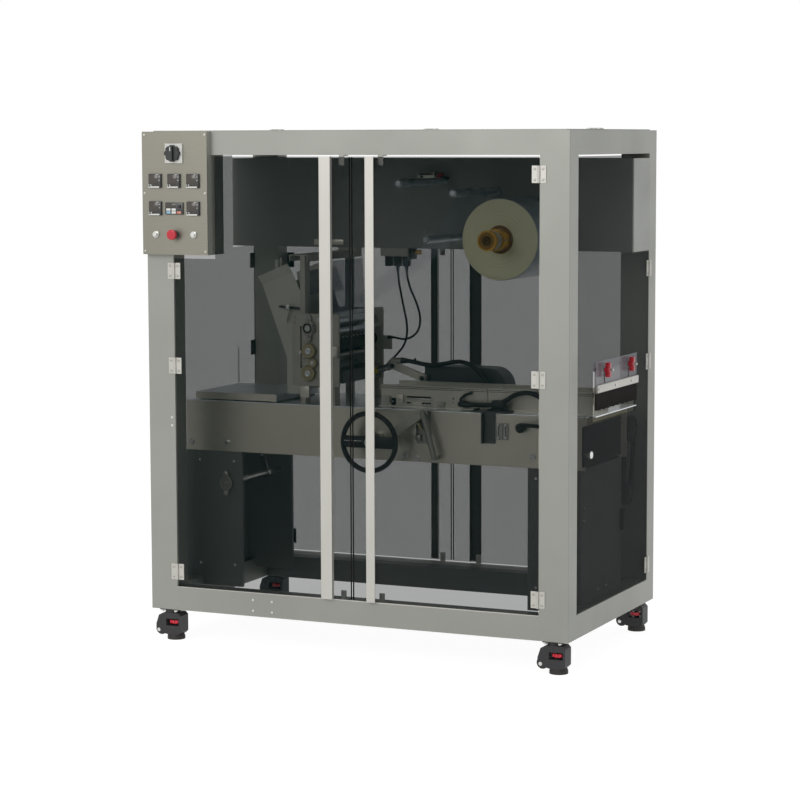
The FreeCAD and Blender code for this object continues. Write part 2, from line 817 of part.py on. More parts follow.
def make_conveyor():
    """Skirts, deck, infeed cover, outlet tray and end plate."""
    for y in (conveyor_front, conveyor_back - skirt_thickness):
        add("conveyor_skirts", block(conveyor_left, conveyor_right, y, y + skirt_thickness,
                                     skirt_bottom, deck_underside))
    deck = block(conveyor_left, conveyor_right, conveyor_front, conveyor_back, deck_underside, deck_top)
    long_edges = edges_along(deck, Vector(1, 0, 0), lambda p: p.z > deck_top - 1e-6)
    add("conveyor_deck", deck.makeFillet(deck_thickness * 0.8, long_edges))
    base = deck_top + infeed_foot_height
    cover = block(infeed_left, infeed_right, infeed_front, infeed_back, base, base + infeed_height)
    feet = []
    for x in (infeed_left + 2 * infeed_foot_radius, infeed_right - 2 * infeed_foot_radius):
        for y in (infeed_front + 2 * infeed_foot_radius, infeed_back - 2 * infeed_foot_radius):
            feet.append(rod(infeed_foot_radius, Vector(x, y, deck_top), Vector(x, y, base)))
    add("infeed_cover", fuse(cover, *feet))
    tray = block(tray_left, tray_left + tray_length, conveyor_front, conveyor_back,
                 deck_top, deck_top + tray_thickness)
    add("outlet_tray", tray)
    add("drive_covers", block(conveyor_right, conveyor_right + end_plate_thickness,
                              end_plate_front, end_plate_back, end_plate_bottom, end_plate_top))


def make_pedestals():
    """Folded sheet pedestals, open towards the middle, and the lift shaft in the left one."""
    for side in (-1, 1):
        outer = pedestal_outer if side < 0 else frame_width - pedestal_outer
        inner = outer - side * pedestal_width
        add("pedestals", pedestal(outer, inner, side))
    add("lift_shaft", lift_shaft())
    for y, way in ((pedestal_front, -1), (pedestal_back, 1)):
        add("bearings", flange_bearing(lift_shaft_x, lift_shaft_z, lift_shaft_radius, y, way))


def pedestal(outer, inner, side):
    """One folded sheet: an outer wall, a front and a rear wall, and their return flanges."""
    skin = pedestal_sheet * side

    def slab(x0, x1, y0, y1, z0=lower_beam_top):
        return block(min(x0, x1), max(x0, x1), y0, y1, z0, skirt_bottom)

    wall = slab(outer, outer - skin, pedestal_front, pedestal_back)
    beam_edge = side_beam_width if side < 0 else frame_width - side_beam_width
    parts = []
    for y0, y1, lip_y0, lip_y1 in (
        (pedestal_front, pedestal_front + pedestal_sheet, pedestal_front, pedestal_front + pedestal_flange),
        (pedestal_back - pedestal_sheet, pedestal_back, pedestal_back - pedestal_flange, pedestal_back),
    ):
        parts.append(slab(outer, inner, y0, y1))
        parts.append(slab(beam_edge, inner, y0, y1, lower_beam_top - pedestal_hang))
        parts.append(slab(inner, inner + skin, lip_y0, lip_y1, lower_beam_top - pedestal_hang))
    body = fuse(wall, *parts)
    if side < 0:
        body = body.cut(rod_y(lift_shaft_radius + slide_clearance, lift_shaft_x, lift_shaft_z,
                              pedestal_front - 1, pedestal_back + 1))
    return body


def lift_shaft():
    """Cross shaft with the lever that raises the deck."""
    reach = flange_bearing_thickness + lift_shaft_end
    shaft = rod_y(lift_shaft_radius, lift_shaft_x, lift_shaft_z, pedestal_front - reach,
                  pedestal_back + reach)
    low = pedestal_back - lift_lever_inset
    lever = bar_xz((lift_shaft_x, lift_shaft_z), lift_lever_tip, lift_lever_width,
                   low - lift_lever_thickness, low)
    boss = rod_y(lift_lever_width * 0.75, lift_shaft_x, lift_shaft_z, low - 2 * lift_lever_thickness, low)
    eye = rod_y(lift_shaft_radius / 2, lift_lever_tip[0], lift_lever_tip[1],
                low - 2 * lift_lever_thickness, low)
    return fuse(shaft, lever, boss, eye)


def flange_bearing(x, z, bore, y, way):
    """Oval flange bearing on a wall, open through its middle or capped where the bore is nought."""
    near, far = min(y, y + way * flange_bearing_thickness), max(y, y + way * flange_bearing_thickness)
    body = rod_y(flange_bearing_radius, x, z, near, far)
    reach = flange_bearing_height / 2 - flange_lug_radius
    lugs = [rod_y(flange_lug_radius, x, z + end * reach, near, far) for end in (-1, 1)]
    web = block(x - flange_lug_radius, x + flange_lug_radius, near, far, z - reach, z + reach)
    whole = fuse(body, web, *lugs)
    return whole.cut(rod_y(bore, x, z, near - 1, far + 1)) if bore else whole


def head_plate(y):
    """Side plate of the film head, with its adjusting slot."""
    plate = block(head_left, head_right, y, y + head_plate_thickness, head_bottom, head_top)
    plate = plate.makeFillet(head_plate_radius, edges_along(plate, Vector(0, 1, 0)))
    half = head_slot_width / 2
    slot = block(head_slot_x - half, head_slot_x + half, y - 1, y + head_plate_thickness + 1,
                 head_slot_bottom, head_slot_top)
    for end in (head_slot_bottom, head_slot_top):
        slot = fuse(slot, rod_y(half, head_slot_x, end, y - 1, y + head_plate_thickness + 1))
    return plate.cut(slot)


def head_frame():
    """Two side plates on uprights, joined at the top by a channel that hangs under the cabinet."""
    rear_plate = head_back - head_plate_thickness
    front = head_plate(head_front)
    rear = head_plate(rear_plate)
    parts = [rear]
    for y in (head_front + head_plate_thickness, head_back):
        parts.append(block(upright_left, upright_left + upright_width, y, y + upright_depth,
                           deck_top, tie_underside))
        parts.append(block(right_leg_left, right_leg_left + upright_width, y, y + upright_depth,
                           deck_top, head_top))
    tie_y = head_front + head_plate_thickness
    tie_end = cabinet_front + tie_overlap
    channel = block(tie_left, tie_right, tie_y, tie_end, tie_underside, tie_underside + tie_height)
    hollow = block(tie_left + tie_sheet, tie_right - tie_sheet, tie_y - 1, tie_end + 1,
                   tie_underside - 1, tie_underside + tie_height - tie_sheet)
    caps = [block(upright_left, upright_left + upright_width, y, y + upright_depth,
                  tie_underside, tie_underside + tie_height - tie_sheet)
            for y in (tie_y, head_back)]
    spacer = block(tie_left, tie_right, cabinet_front, tie_end, tie_underside + tie_height, cabinet_bottom)
    knob = rod_y(clamp_knob_radius, head_slot_x, clamp_knob_height,
                 head_front - head_plate_thickness, head_front + head_plate_thickness)
    bracket = block(head_right, head_right + plate_bracket_reach, rear_plate, head_back,
                    plate_bracket_bottom, plate_socket_height - socket_radius)
    socket_y = rear_plate + head_plate_thickness / 2
    socket = rod(socket_radius, Vector(head_right, socket_y, plate_socket_height),
                 Vector(head_right + plate_socket_reach, socket_y, plate_socket_height))
    body = fuse(front, channel.cut(hollow), spacer, knob, bracket, socket, *(parts + caps))
    for x, z, radius in (top_roller, pull_roller, toothed_roller, lower_roller):
        body = body.cut(rod_y(journal_radius, x, z, head_front - 1, head_back + 1))
    return body


def head_roller(x, z, radius, flutes=0):
    """Roller with a journal in each side plate, plain or with flutes along it."""
    front = head_front + head_plate_thickness + upright_depth + roller_set_back
    back = head_back - head_plate_thickness - roller_set_back
    body = rod_y(radius, x, z, front, back)
    for step in range(flutes):
        angle = 2 * math.pi * step / flutes
        body = body.cut(rod_y(tooth_depth, x + radius * math.cos(angle), z + radius * math.sin(angle),
                              front - 1, back + 1))
    return body


def make_head():
    """Film head: its frame, the pull rollers and their gears, and the sealing bar."""
    add("head_frame", head_frame())
    gear_back = head_front - gear_gap
    for place, flutes, geared in ((top_roller, 0, False), (pull_roller, 0, False),
                                  (toothed_roller, tooth_count, True), (lower_roller, 0, True)):
        x, z, radius = place
        end = gear_back - gear_thickness if geared else head_front
        shaft = rod_y(journal_radius, x, z, end, head_back)
        parts = [shaft]
        if geared:
            parts.append(rod_y(gear_radius, x, z, gear_back - gear_thickness, gear_back))
        add("head_rollers", fuse(head_roller(x, z, radius, flutes), *parts))
    x, z = idler_place
    stud = rod_y(journal_radius / 2, x, z, gear_back - gear_thickness, head_front)
    add("head_rollers", fuse(rod_y(idler_radius, x, z, gear_back - gear_thickness, gear_back), stud))
    x, z, radius = pull_roller
    add("bearings", flange_bearing(x, z, 0, head_front, -1))
    low = head_bottom + roller_set_back
    add("head_rollers", block(sealing_bar_left, sealing_bar_right,
                              head_front + head_plate_thickness + upright_depth,
                              head_back - head_plate_thickness, low, low + sealing_bar_height))


def make_sockets():
    """Sockets, clamps and glands that the cables end in."""
    middle = (arm_front + arm_back) / 2
    x, z = arm_elbow
    post = rod(elbow_socket_radius / 2, Vector(x, middle, z), Vector(x, middle, elbow_socket_height))
    elbow = rod(elbow_socket_radius, Vector(x - elbow_socket_radius, middle, elbow_socket_height),
                Vector(x + elbow_socket_reach, middle, elbow_socket_height))
    beam = rod(socket_radius, Vector(*beam_socket_start), Vector(*beam_socket_end))
    boot = rod_y(boot_radius, boot_x, boot_z, boot_y, front_guide)
    outlet = rod(boot_radius, Vector(boot_x, boot_y, boot_z), Vector(boot_x + boot_reach, boot_y, boot_z))
    ball = Part.makeSphere(boot_radius, Vector(boot_x, boot_y, boot_z))
    add("deck_brackets", fuse(boot, outlet, ball))
    for x, y, z in (front_deck_gland, rear_deck_gland):
        reach = z - deck_top + 2 * deck_gland_radius
        gland = rod(deck_gland_radius, Vector(x, y, z), Vector(x + reach, y, z - reach))
        under = block(x, x + 2 * reach, y - deck_gland_radius, y + deck_gland_radius,
                      deck_top - 2 * reach, deck_top)
        add("deck_brackets", gland.cut(under))
    return post, elbow, beam


def cable(name, route, radius):
    """Round cable along straight runs, joined by arcs that touch the runs on each side of a corner."""
    points = [Vector(*place) for place in route]
    edges = []
    bends = []
    start = points[0]
    for before, corner, after in zip(points, points[1:], points[2:]):
        back = before - corner
        ahead = after - corner
        cut = cable_arc_share * min(back.Length, ahead.Length)
        back.normalize()
        ahead.normalize()
        half_turn = (math.pi - back.getAngle(ahead)) / 2
        bend = cut / math.tan(half_turn)
        bends.append(round(bend))
        inward = (back + ahead).normalize()
        first = corner + back * cut
        last = corner + ahead * cut
        middle = corner + inward * (bend / math.cos(half_turn) - bend)
        edges.append(Part.LineSegment(start, first).toShape())
        edges.append(Part.Arc(first, middle, last).toShape())
        start = last
    edges.append(Part.LineSegment(start, points[-1]).toShape())
    spine = Part.Wire(edges)
    section = Part.Wire([Part.makeCircle(radius, points[0], points[1] - points[0])])
    tube = spine.makePipeShell([section], True, False)
    length = sum(edge.Length for edge in edges)
    share = tube.Volume / (math.pi * radius ** 2 * length)
    print(name, "length", round(length), "bend radii", bends, "volume share", round(share, 4))
    add(name, tube)


def make_cables():
    """Two cables that hang from the junction box, and the looms of the sealing arm and the deck."""
    cable("cable_left", cable_left_route, thin_cable_radius)
    cable("cable_right", cable_right_route, thin_cable_radius)
    cable("arm_loom", arm_loom_route, loom_radius)
    cable("deck_loom", deck_loom_route, loom_radius)


def make_chute():
    """Chute: two side plates with flared lips and the slanted sheet that joins them."""
    parts = []
    for y, way, right in ((chute_front, -1, upright_left + upright_width),
                          (chute_back - chute_sheet, 1, upright_left)):
        outline = [chute_left_top, chute_right_top, (right, chute_right_knee), (right, chute_bottom),
                   (chute_left_knee[0], chute_bottom), chute_left_knee]
        parts.append(plate_xz(outline, y, y + chute_sheet))
        parts.append(chute_lip(y if way < 0 else y + chute_sheet, way))
    skin = chute_sheet
    (x0, z0), (x1, z1) = chute_left_top, chute_left_knee
    floor_sheet = [(x0, z0), (x1, z1), (x1, chute_bottom), (x1 + skin, chute_bottom), (x1 + skin, z1),
                   (x0 + skin, z0)]
    parts.append(plate_xz(floor_sheet, chute_front, chute_back))
    add("chute", fuse(parts[0], *parts[1:]))


def chute_lip(y, way):
    """Strip along the top edge of a side plate, bent outwards."""
    low = Vector(chute_left_top[0], y, chute_left_top[1])
    high = Vector(chute_right_top[0], y, chute_right_top[1])
    along = (high - low).normalize()
    up = along.cross(Vector(0, 1, 0)) * -1
    if up.z < 0:
        up = up * -1
    angle = math.radians(chute_lip_angle)
    reach = (up * math.cos(angle) + Vector(0, way, 0) * math.sin(angle)) * chute_lip_height
    inward = along.cross(reach).normalize()
    if inward.y * way > 0:
        inward = inward * -1
    face = Part.Face(Part.makePolygon([low, high, high + reach, low + reach, low]))
    return face.extrude(inward * chute_sheet)


def make_junction_box():
    """Junction box under the cabinet, its plugs, and the gland on its right end."""
    bottom = cabinet_bottom - junction_height
    add("junction_box", block(junction_left, junction_right, junction_front, junction_back,
                              bottom, cabinet_bottom))
    middle = (junction_front + junction_back) / 2
    for x in plug_centres:
        plug = block(x - plug_width / 2, x + plug_width / 2, middle - plug_width / 2, middle + plug_width / 2,
                     bottom - plug_height, bottom)
        add("junction_box", plug.makeFillet(plug_corner_radius, edges_along(plug, Vector(0, 0, 1))))
    centre_z = cabinet_bottom - junction_height / 2
    gland = rod(gland_radius, Vector(junction_right, middle, centre_z),
                Vector(junction_right + gland_length, middle, centre_z))
    add("junction_box", gland)


def make_deck_guides():
    """Side guides of the conveyor, each a folded plate with a rail on top, split at a seam."""
    tray_room = block(tray_left - slide_clearance, frame_width, conveyor_front, conveyor_back,
                      deck_top, deck_top + tray_thickness + slide_clearance)
    for y, way in ((front_guide, -1), (back_guide, 1)):
        for x0, x1 in ((guide_left, guide_seam - guide_seam_gap / 2),
                       (guide_seam + guide_seam_gap / 2, guide_right)):
            near, far = min(y, y - way * guide_sheet), max(y, y - way * guide_sheet)
            foot = min(y, y + way * guide_rail_width), max(y, y + way * guide_rail_width)
            wall = block(x0, x1, near, far, deck_top, deck_top + guide_height)
            foot = block(x0, x1, foot[0], foot[1], deck_top, deck_top + guide_sheet / 2)
            rail_y = (near + far - guide_rail_width) / 2
            rail = block(x0, x1, rail_y, rail_y + guide_rail_width, deck_top + guide_height,
                         deck_top + guide_height + guide_rail_height)
            groove = block(x0 - 1, x1 + 1, rail_y - 1, rail_y + guide_sheet / 2,
                           deck_top + guide_height + guide_rail_height * 0.4,
                           deck_top + guide_height + guide_rail_height * 0.65)
            side = fuse(wall, foot, rail.cut(groove))
            add("deck_rails", side.cut(tray_room))


def make_deck_brackets():
    """Shelf over the front edge of the deck, the angle below it, a plate hinge and a cable gland."""
    shelf = block(shelf_left, shelf_right, conveyor_front - angle_sheet, conveyor_front + shelf_depth,
                  deck_top, deck_top + shelf_thickness)
    front = conveyor_front
    angle = block(angle_left, angle_right, front - angle_sheet, front, angle_bottom, deck_top)
    leg = block(angle_left, angle_left + angle_sheet, front - (angle_right - angle_left) / 2, front,
                angle_bottom, deck_top)
    add("deck_brackets", fuse(shelf, angle, leg))
    hinge = block(skirt_hinge_left + angle_sheet, skirt_hinge_right, front - skirt_hinge_thickness, front,
                  skirt_hinge_bottom, skirt_hinge_top)
    middle = (skirt_hinge_left + angle_sheet + skirt_hinge_right) / 2
    knuckle = rod(skirt_hinge_thickness, Vector(middle, front - skirt_hinge_thickness, skirt_hinge_bottom),
                  Vector(middle, front - skirt_hinge_thickness, skirt_hinge_top))
    add("deck_brackets", fuse(hinge, knuckle))
    body = rod_y(cable_gland_radius, cable_gland_x, cable_gland_z, front - cable_gland_length, front)
    add("deck_brackets", body)


def bar_xz(start, end, width, y0, y1):
    """Flat bar with round ends between two points in X and Z."""
    (x0, z0), (x1, z1) = start, end
    length = math.hypot(x1 - x0, z1 - z0)
    side_x = (z0 - z1) / length * width / 2
    side_z = (x1 - x0) / length * width / 2
    plate = plate_xz([(x0 + side_x, z0 + side_z), (x1 + side_x, z1 + side_z),
                      (x1 - side_x, z1 - side_z), (x0 - side_x, z0 - side_z)], y0, y1)
    return fuse(plate, rod_y(width / 2, x0, z0, y0, y1), rod_y(width / 2, x1, z1, y0, y1))


def make_release_lever():
    """Flat lever in front of the skirt, its bracket on the skirt and the strut that holds it."""
    back = lever_front + lever_thickness
    plate = bar_xz(lever_low, lever_high, lever_width, lever_front, back)
    bracket = block(lever_bracket_left, lever_bracket_right, conveyor_front - angle_sheet, conveyor_front,
                    lever_bracket_bottom, deck_underside)
    knee = block(lever_bracket_left, lever_bracket_left + angle_sheet, back - 1, conveyor_front,
                 lever_bracket_bottom + lever_width, deck_underside - lever_width)
    strut_y = lever_front - strut_radius - slide_clearance
    strut = rod(strut_radius, Vector(lever_high[0], strut_y, lever_high[1]),
                Vector(strut_low[0], strut_y, strut_low[1]))
    low_pin = rod_y(pivot_radius, strut_low[0], strut_low[1], strut_y, conveyor_front)
    top_pin = rod_y(pivot_radius, lever_high[0], lever_high[1], strut_y, conveyor_front)
    add("release_lever", fuse(plate, bracket, knee, top_pin, strut, low_pin))


def make_sealing_arm():
    """Sealing arm: two link plates from its pivot to the elbow, and the arm beyond it."""
    gap = arm_back - arm_front
    links = [bar_xz(arm_pivot, arm_elbow, arm_width, arm_front, arm_front + arm_sheet),
             bar_xz(arm_pivot, arm_elbow, arm_width, arm_back - arm_sheet, arm_back)]
    pin = rod_y(arm_pin_radius, arm_pivot[0], arm_pivot[1], arm_front - arm_sheet, cover_front)
    elbow = rod_y(arm_pin_radius, arm_elbow[0], arm_elbow[1], arm_front - arm_sheet, arm_back + arm_sheet)
    middle = arm_front + gap / 2
    joint = Vector(arm_elbow[0], middle, arm_elbow[1])
    tip = Vector(arm_tip[0], middle, arm_tip[1])
    beam = rod(arm_rod_radius, joint + (joint - tip).normalize() * arm_sheet, tip)
    add("sealing_arm", fuse(pin, elbow, beam, *(links + list(make_sockets()))))
    cover = block(cover_left, cover_right, cover_front, cover_back, deck_top, cover_top)
    corner = edges_along(cover, Vector(0, 1, 0),
                         lambda p: p.z > cover_top - 1e-6 and p.x > cover_right - 1e-6)
    cover = cover.makeFillet(cover_radius, corner)
    boss = rod_y(arm_width / 2, arm_pivot[0], arm_pivot[1], cover_front, cover_back)
    add("drive_covers", fuse(cover, boss))


def make_film_path():
    """Guide rollers on their studs, and the film roll on its spindle."""
    for number, (x, z) in enumerate(zip(roller_lines, roller_heights), 1):
        rear = cabinet_front - roller_rear_gap
        roller = rod_y(roller_radius, x, z, roller_front, rear)
        bore = rod_y(roller_stud_radius + roller_clearance, x, z, rear - roller_stud_length - 1, rear)
        add("guide_roller_%d" % number, roller.cut(bore))
        boss = rod_y(roller_boss_radius, x, z, rear + slide_clearance, cabinet_front)
        stud = rod_y(roller_stud_radius, x, z, rear - roller_stud_length, cabinet_front)
        add("bearings", fuse(boss, stud))
    gap = cabinet_front - mandrel_back
    boss = rod_y(spindle_boss_radius, film_axis_x, film_axis_z, mandrel_back + slide_clearance, cabinet_front)
    stud = rod_y(spindle_stud_radius, film_axis_x, film_axis_z,
                 cabinet_front - gap - spindle_stud_length, cabinet_front)
    add("bearings", fuse(boss, stud))
    roll = rod_y(film_radius, film_axis_x, film_axis_z, film_front, film_back)
    core = rod_y(mandrel_radius, film_axis_x, film_axis_z, film_front, film_back)
    add("film_roll", roll.cut(core))
    mandrel = rod_y(mandrel_radius, film_axis_x, film_axis_z, mandrel_front, mandrel_back)
    flange = rod_y(spindle_flange_radius, film_axis_x, film_axis_z, film_back,
                   film_back + spindle_flange_thickness)
    bore = rod_y(spindle_stud_radius + roller_clearance, film_axis_x, film_axis_z,
                 mandrel_back - spindle_stud_length - 1, mandrel_back)
    add("film_spindle", fuse(mandrel, flange).cut(bore))


def make_handwheel():
    """Handwheel with a wide cross bar, on a fixed shaft in front of the skirt."""
    rim = Part.makeTorus(wheel_radius - wheel_rim_radius, wheel_rim_radius,
                         Vector(wheel_x, wheel_y, wheel_z), Vector(0, 1, 0))
    reach = wheel_radius - wheel_rim_radius
    bar = block(wheel_x - reach, wheel_x + reach, wheel_y - wheel_bar_thickness / 2,
                wheel_y + wheel_bar_thickness / 2, wheel_z - wheel_bar_height / 2,
                wheel_z + wheel_bar_height / 2)
    hub_front = wheel_y - wheel_bar_thickness
    hub = rod_y(wheel_hub_radius, wheel_x, wheel_z, hub_front, hub_front + wheel_hub_length)
    bore = rod_y(wheel_shaft_radius + wheel_shaft_clearance, wheel_x, wheel_z,
                 wheel_y, hub_front + wheel_hub_length)
    add("handwheel", fuse(rim, bar, hub).cut(bore))
    shaft = rod_y(wheel_shaft_radius, wheel_x, wheel_z, wheel_y + slide_clearance, conveyor_front)
    bearing = rod_y(wheel_bearing_radius, wheel_x, wheel_z, conveyor_front - wheel_bearing_length,
                    conveyor_front)
    add("bearings", fuse(shaft, bearing))


def make_casters():
    """Levelling casters: the pads carry the machine and the wheels hang clear of the floor."""
    number = 0
    for x in (caster_inset_x, frame_width - caster_inset_x):
        for y in (caster_inset_y, frame_depth - caster_inset_y):
            number += 1
            make_caster(number, x, y)


def caster_housing():
    """Cast housing with its top plate, cut out for the wheel and for the thumb nut."""
    half = caster_plate_size / 2
    width = caster_body_width / 2
    plate_bottom = caster_height - caster_plate_thickness
    body_top = plate_bottom - caster_neck_height
    wheel = -caster_wheel_offset
    boss = caster_axle_radius * 2.2
    body = plate_xz([(wheel + caster_shoulder, body_top), (wheel, body_top - caster_chamfer),
                     (wheel - boss, caster_axle_height + 2 * boss), (wheel - boss, caster_axle_height),
                     (wheel - boss / 2, caster_axle_height - boss),
                     (wheel + boss * 1.5, caster_axle_height - boss),
                     (caster_pad_offset - caster_nut_radius, caster_body_bottom),
                     (caster_body_reach - caster_chamfer, caster_body_bottom),
                     (caster_body_reach, caster_body_bottom + caster_chamfer),
                     (caster_body_reach, body_top - caster_chamfer),
                     (caster_body_reach - caster_chamfer, body_top)], -width, width)
    neck = rod(caster_neck_radius, Vector(0, 0, body_top), Vector(0, 0, plate_bottom))
    plate = block(-half, half, -half, half, plate_bottom, caster_height)
    plate = plate.makeFillet(caster_plate_radius, edges_along(plate, Vector(0, 0, 1)))
    inner = caster_wheel_width / 2 + caster_side_gap
    room = caster_wheel_radius + caster_wheel_room
    wheel_room = block(wheel - 2 * room, wheel + room, -inner, inner, 0, caster_axle_height + room)
    window = block(caster_pad_offset - caster_nut_radius - caster_window_margin,
                   caster_body_reach - caster_window_wall, -2 * width, 2 * width,
                   caster_window_bottom, caster_window_top)
    stem_hole = rod(caster_stem_radius + slide_clearance, Vector(caster_pad_offset, 0, 0),
                    Vector(caster_pad_offset, 0, caster_window_bottom))
    body = body.cut(wheel_room).cut(window).cut(stem_hole)
    axle = rod_y(caster_axle_radius, wheel, caster_axle_height, -width, width)
    return fuse(body, neck, plate, axle)


def caster_wheel():
    """Nylon wheel with rounded tread edges, bored for its axle."""
    half = caster_wheel_width / 2
    wheel = rod_y(caster_wheel_radius, -caster_wheel_offset, caster_axle_height, -half, half)
    rims = [edge for edge in wheel.Edges if edge.BoundBox.YLength < 1e-6]
    wheel = wheel.makeFillet(caster_tread_radius, rims)
    return wheel.cut(rod_y(caster_axle_radius + caster_axle_clearance, -caster_wheel_offset,
                           caster_axle_height, -2 * half, 2 * half))


def caster_pad():
    """Round floor pad on its stem, with the thumb nut in the housing's window."""
    centre = Vector(caster_pad_offset, 0, 0)
    up = Vector(0, 0, 1)
    pad = rod(caster_pad_radius, centre, centre + up * caster_pad_height)
    top = [edge for edge in pad.Edges if edge.BoundBox.ZMin > caster_pad_height - 1e-6]
    pad = pad.makeFillet(caster_pad_edge, top)
    stem = rod(caster_stem_radius, centre + up * caster_pad_height, centre + up * caster_window_top)
    nut_bottom = (caster_window_bottom + caster_window_top - caster_nut_height) / 2
    nut = rod(caster_nut_radius, centre + up * nut_bottom, centre + up * (nut_bottom + caster_nut_height))
    return fuse(pad, stem, nut)


def make_caster(number, x, y):
    """Set one caster down under its corner."""
    place = Vector(x, y, floor)
    for name, shape in (("caster_housings", caster_housing()), ("caster_wheel_%d" % number, caster_wheel()),
                        ("caster_pads", caster_pad())):
        shape.translate(place)
        add(name, shape)


def make_guard():
    """Outlet guard on the right side door: clear plate, strip with bristles, and two wing knobs."""
    face = frame_width
    plate = block(face, face + guard_plate_thickness, guard_front, guard_back,
                  guard_strip_bottom, guard_top)
    for y in knob_places:
        slot = block(face - 1, face + guard_plate_thickness + 1, y - guard_slot_width / 2,
                     y + guard_slot_width / 2, knob_height - guard_slot_length, knob_height - guard_slot_end)
        plate = plate.cut(slot)
    add("outlet_guard", plate)
    outer = face + guard_plate_thickness
    strip = block(outer, outer + guard_strip_thickness, guard_front, guard_back, guard_strip_bottom,
                  guard_strip_bottom + guard_strip_height)
    bristles = block(face, outer + guard_strip_thickness / 2, guard_front, guard_back,
                     brush_bottom, guard_strip_bottom)
    add("guard_brush", fuse(strip, bristles))
    for y in knob_places:
        hub = rod(knob_hub_radius, Vector(outer, y, knob_height),
                  Vector(outer + side_knob_reach, y, knob_height))
        wings = block(outer + knob_wing_gap, outer + side_knob_reach - knob_wing_gap,
                      y - knob_wing_span / 2, y + knob_wing_span / 2,
                      knob_height - knob_wing_height / 2, knob_height + knob_wing_height / 2)
        add("guard_knobs", fuse(hub, wings))


def make_drive():
    """Pulleys and belt at the right-hand rear, the upper bearing arm and the motor on the pedestal."""
    x0 = pulley_x - pulley_width / 2
    x1 = pulley_x + pulley_width / 2
    for y, z, radius in (upper_pulley, lower_pulley):
        hub = rod(radius - belt_thickness, Vector(x0, y, z), Vector(x1, y, z))
        rims = [rod(radius, Vector(x, y, z), Vector(x + pulley_flange, y, z))
                for x in (x0, x1 - pulley_flange)]
        shaft = rod(drive_shaft_radius, Vector(x0 - bearing_arm_thickness, y, z), Vector(x0, y, z))
        add("drive_pulleys", fuse(hub, shaft, *rims))
    add("drive_belt", drive_belt())
    y, z, radius = upper_pulley
    arm_x1 = x0 - slide_clearance
    arm = block(arm_x1 - bearing_arm_thickness, arm_x1, conveyor_back, y + 2 * drive_shaft_radius,
                z - bearing_arm_height / 2, z + bearing_arm_height / 2)
    hole = rod(drive_shaft_radius + slide_clearance, Vector(arm_x1 - 2 * bearing_arm_thickness, y, z),
               Vector(arm_x1, y, z))
    add("drive_covers", arm.cut(hole))
    y, z, radius = lower_pulley
    motor_x1 = x0 - bearing_arm_thickness - slide_clearance
    body = rod(motor_radius, Vector(motor_x1 - motor_length, y, z), Vector(motor_x1, y, z))
    foot = block(motor_x1 - motor_length * 0.8, motor_x1 - motor_length * 0.2, pedestal_back, y,
                 z - motor_foot_height / 2, z + motor_foot_height / 2)
    add("drive_covers", fuse(body, foot))


def drive_belt():
    """Flat loop of belt round both pulleys, inside their flanges."""
    (y0, z0, r0), (y1, z1, r1) = upper_pulley, lower_pulley
    low = pulley_x - belt_width / 2
    outer = belt_loop(y0, z0, r0 - slide_clearance, y1, z1, r1 - slide_clearance, low, belt_width)
    inner = belt_loop(y0, z0, r0 - belt_thickness + slide_clearance, y1, z1,
                      r1 - belt_thickness + slide_clearance, low - 1, belt_width + 2)
    return outer.cut(inner)


def belt_loop(y0, z0, r0, y1, z1, r1, x, width):
    """Solid with the outline of two circles and their outer tangents."""
    away = math.atan2(z1 - z0, y1 - y0)
    lean = math.acos((r0 - r1) / math.hypot(z1 - z0, y1 - y0))

    def touch(y, z, r, angle):
        return Vector(x, y + r * math.cos(angle), z + r * math.sin(angle))

    a0 = touch(y0, z0, r0, away + lean)
    a1 = touch(y0, z0, r0, away + math.pi)
    a2 = touch(y0, z0, r0, away - lean)
    b0 = touch(y1, z1, r1, away - lean)
    b1 = touch(y1, z1, r1, away)
    b2 = touch(y1, z1, r1, away + lean)
    wire = Part.Wire([Part.Arc(a0, a1, a2).toShape(), Part.LineSegment(a2, b0).toShape(),
                      Part.Arc(b0, b1, b2).toShape(), Part.LineSegment(b2, a0).toShape()])
    return Part.Face(wire).extrude(Vector(width, 0, 0))


make_frame()
make_front_doors()
make_rear_doors()
make_side_doors()
make_door_stops()
make_cabinet()
make_control_box()
make_conveyor()
make_pedestals()
make_head()
make_chute()
make_junction_box()
make_deck_guides()
make_deck_brackets()
make_release_lever()
make_sealing_arm()
make_cables()
make_film_path()
make_handwheel()
make_casters()
make_guard()
make_drive()

os.makedirs("parts", exist_ok=True)
for name, shapes in nodes.items():
    whole = shapes[0] if len(shapes) == 1 else Part.makeCompound(shapes)
    moved = whole.copy()
    moved.translate(origin * -1)
    moved.exportStep("parts/%s.step" % name)
    print(name, len(moved.Solids), round(moved.Volume), moved.isValid())
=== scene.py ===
"""Finishes, small fittings and studio for a guarded shrink wrapping machine.

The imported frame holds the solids. This file gives each of them its finish, lays smooth skins over
the round ones, and adds what is too small for them: screws, dials, gear teeth, bristles and cable
ties. Sizes are in the machine's own millimetres, X right from the left outer face, Y back from the
front face and Z up from a level 15 mm above the floor, and ``spot`` turns them into frame metres.
"""

import json
import logging
import math
from dataclasses import dataclass, field
from enum import Enum
from typing import Any, Optional, Sequence

import bmesh
import bpy
import numpy as np
from mathutils import Matrix, Vector

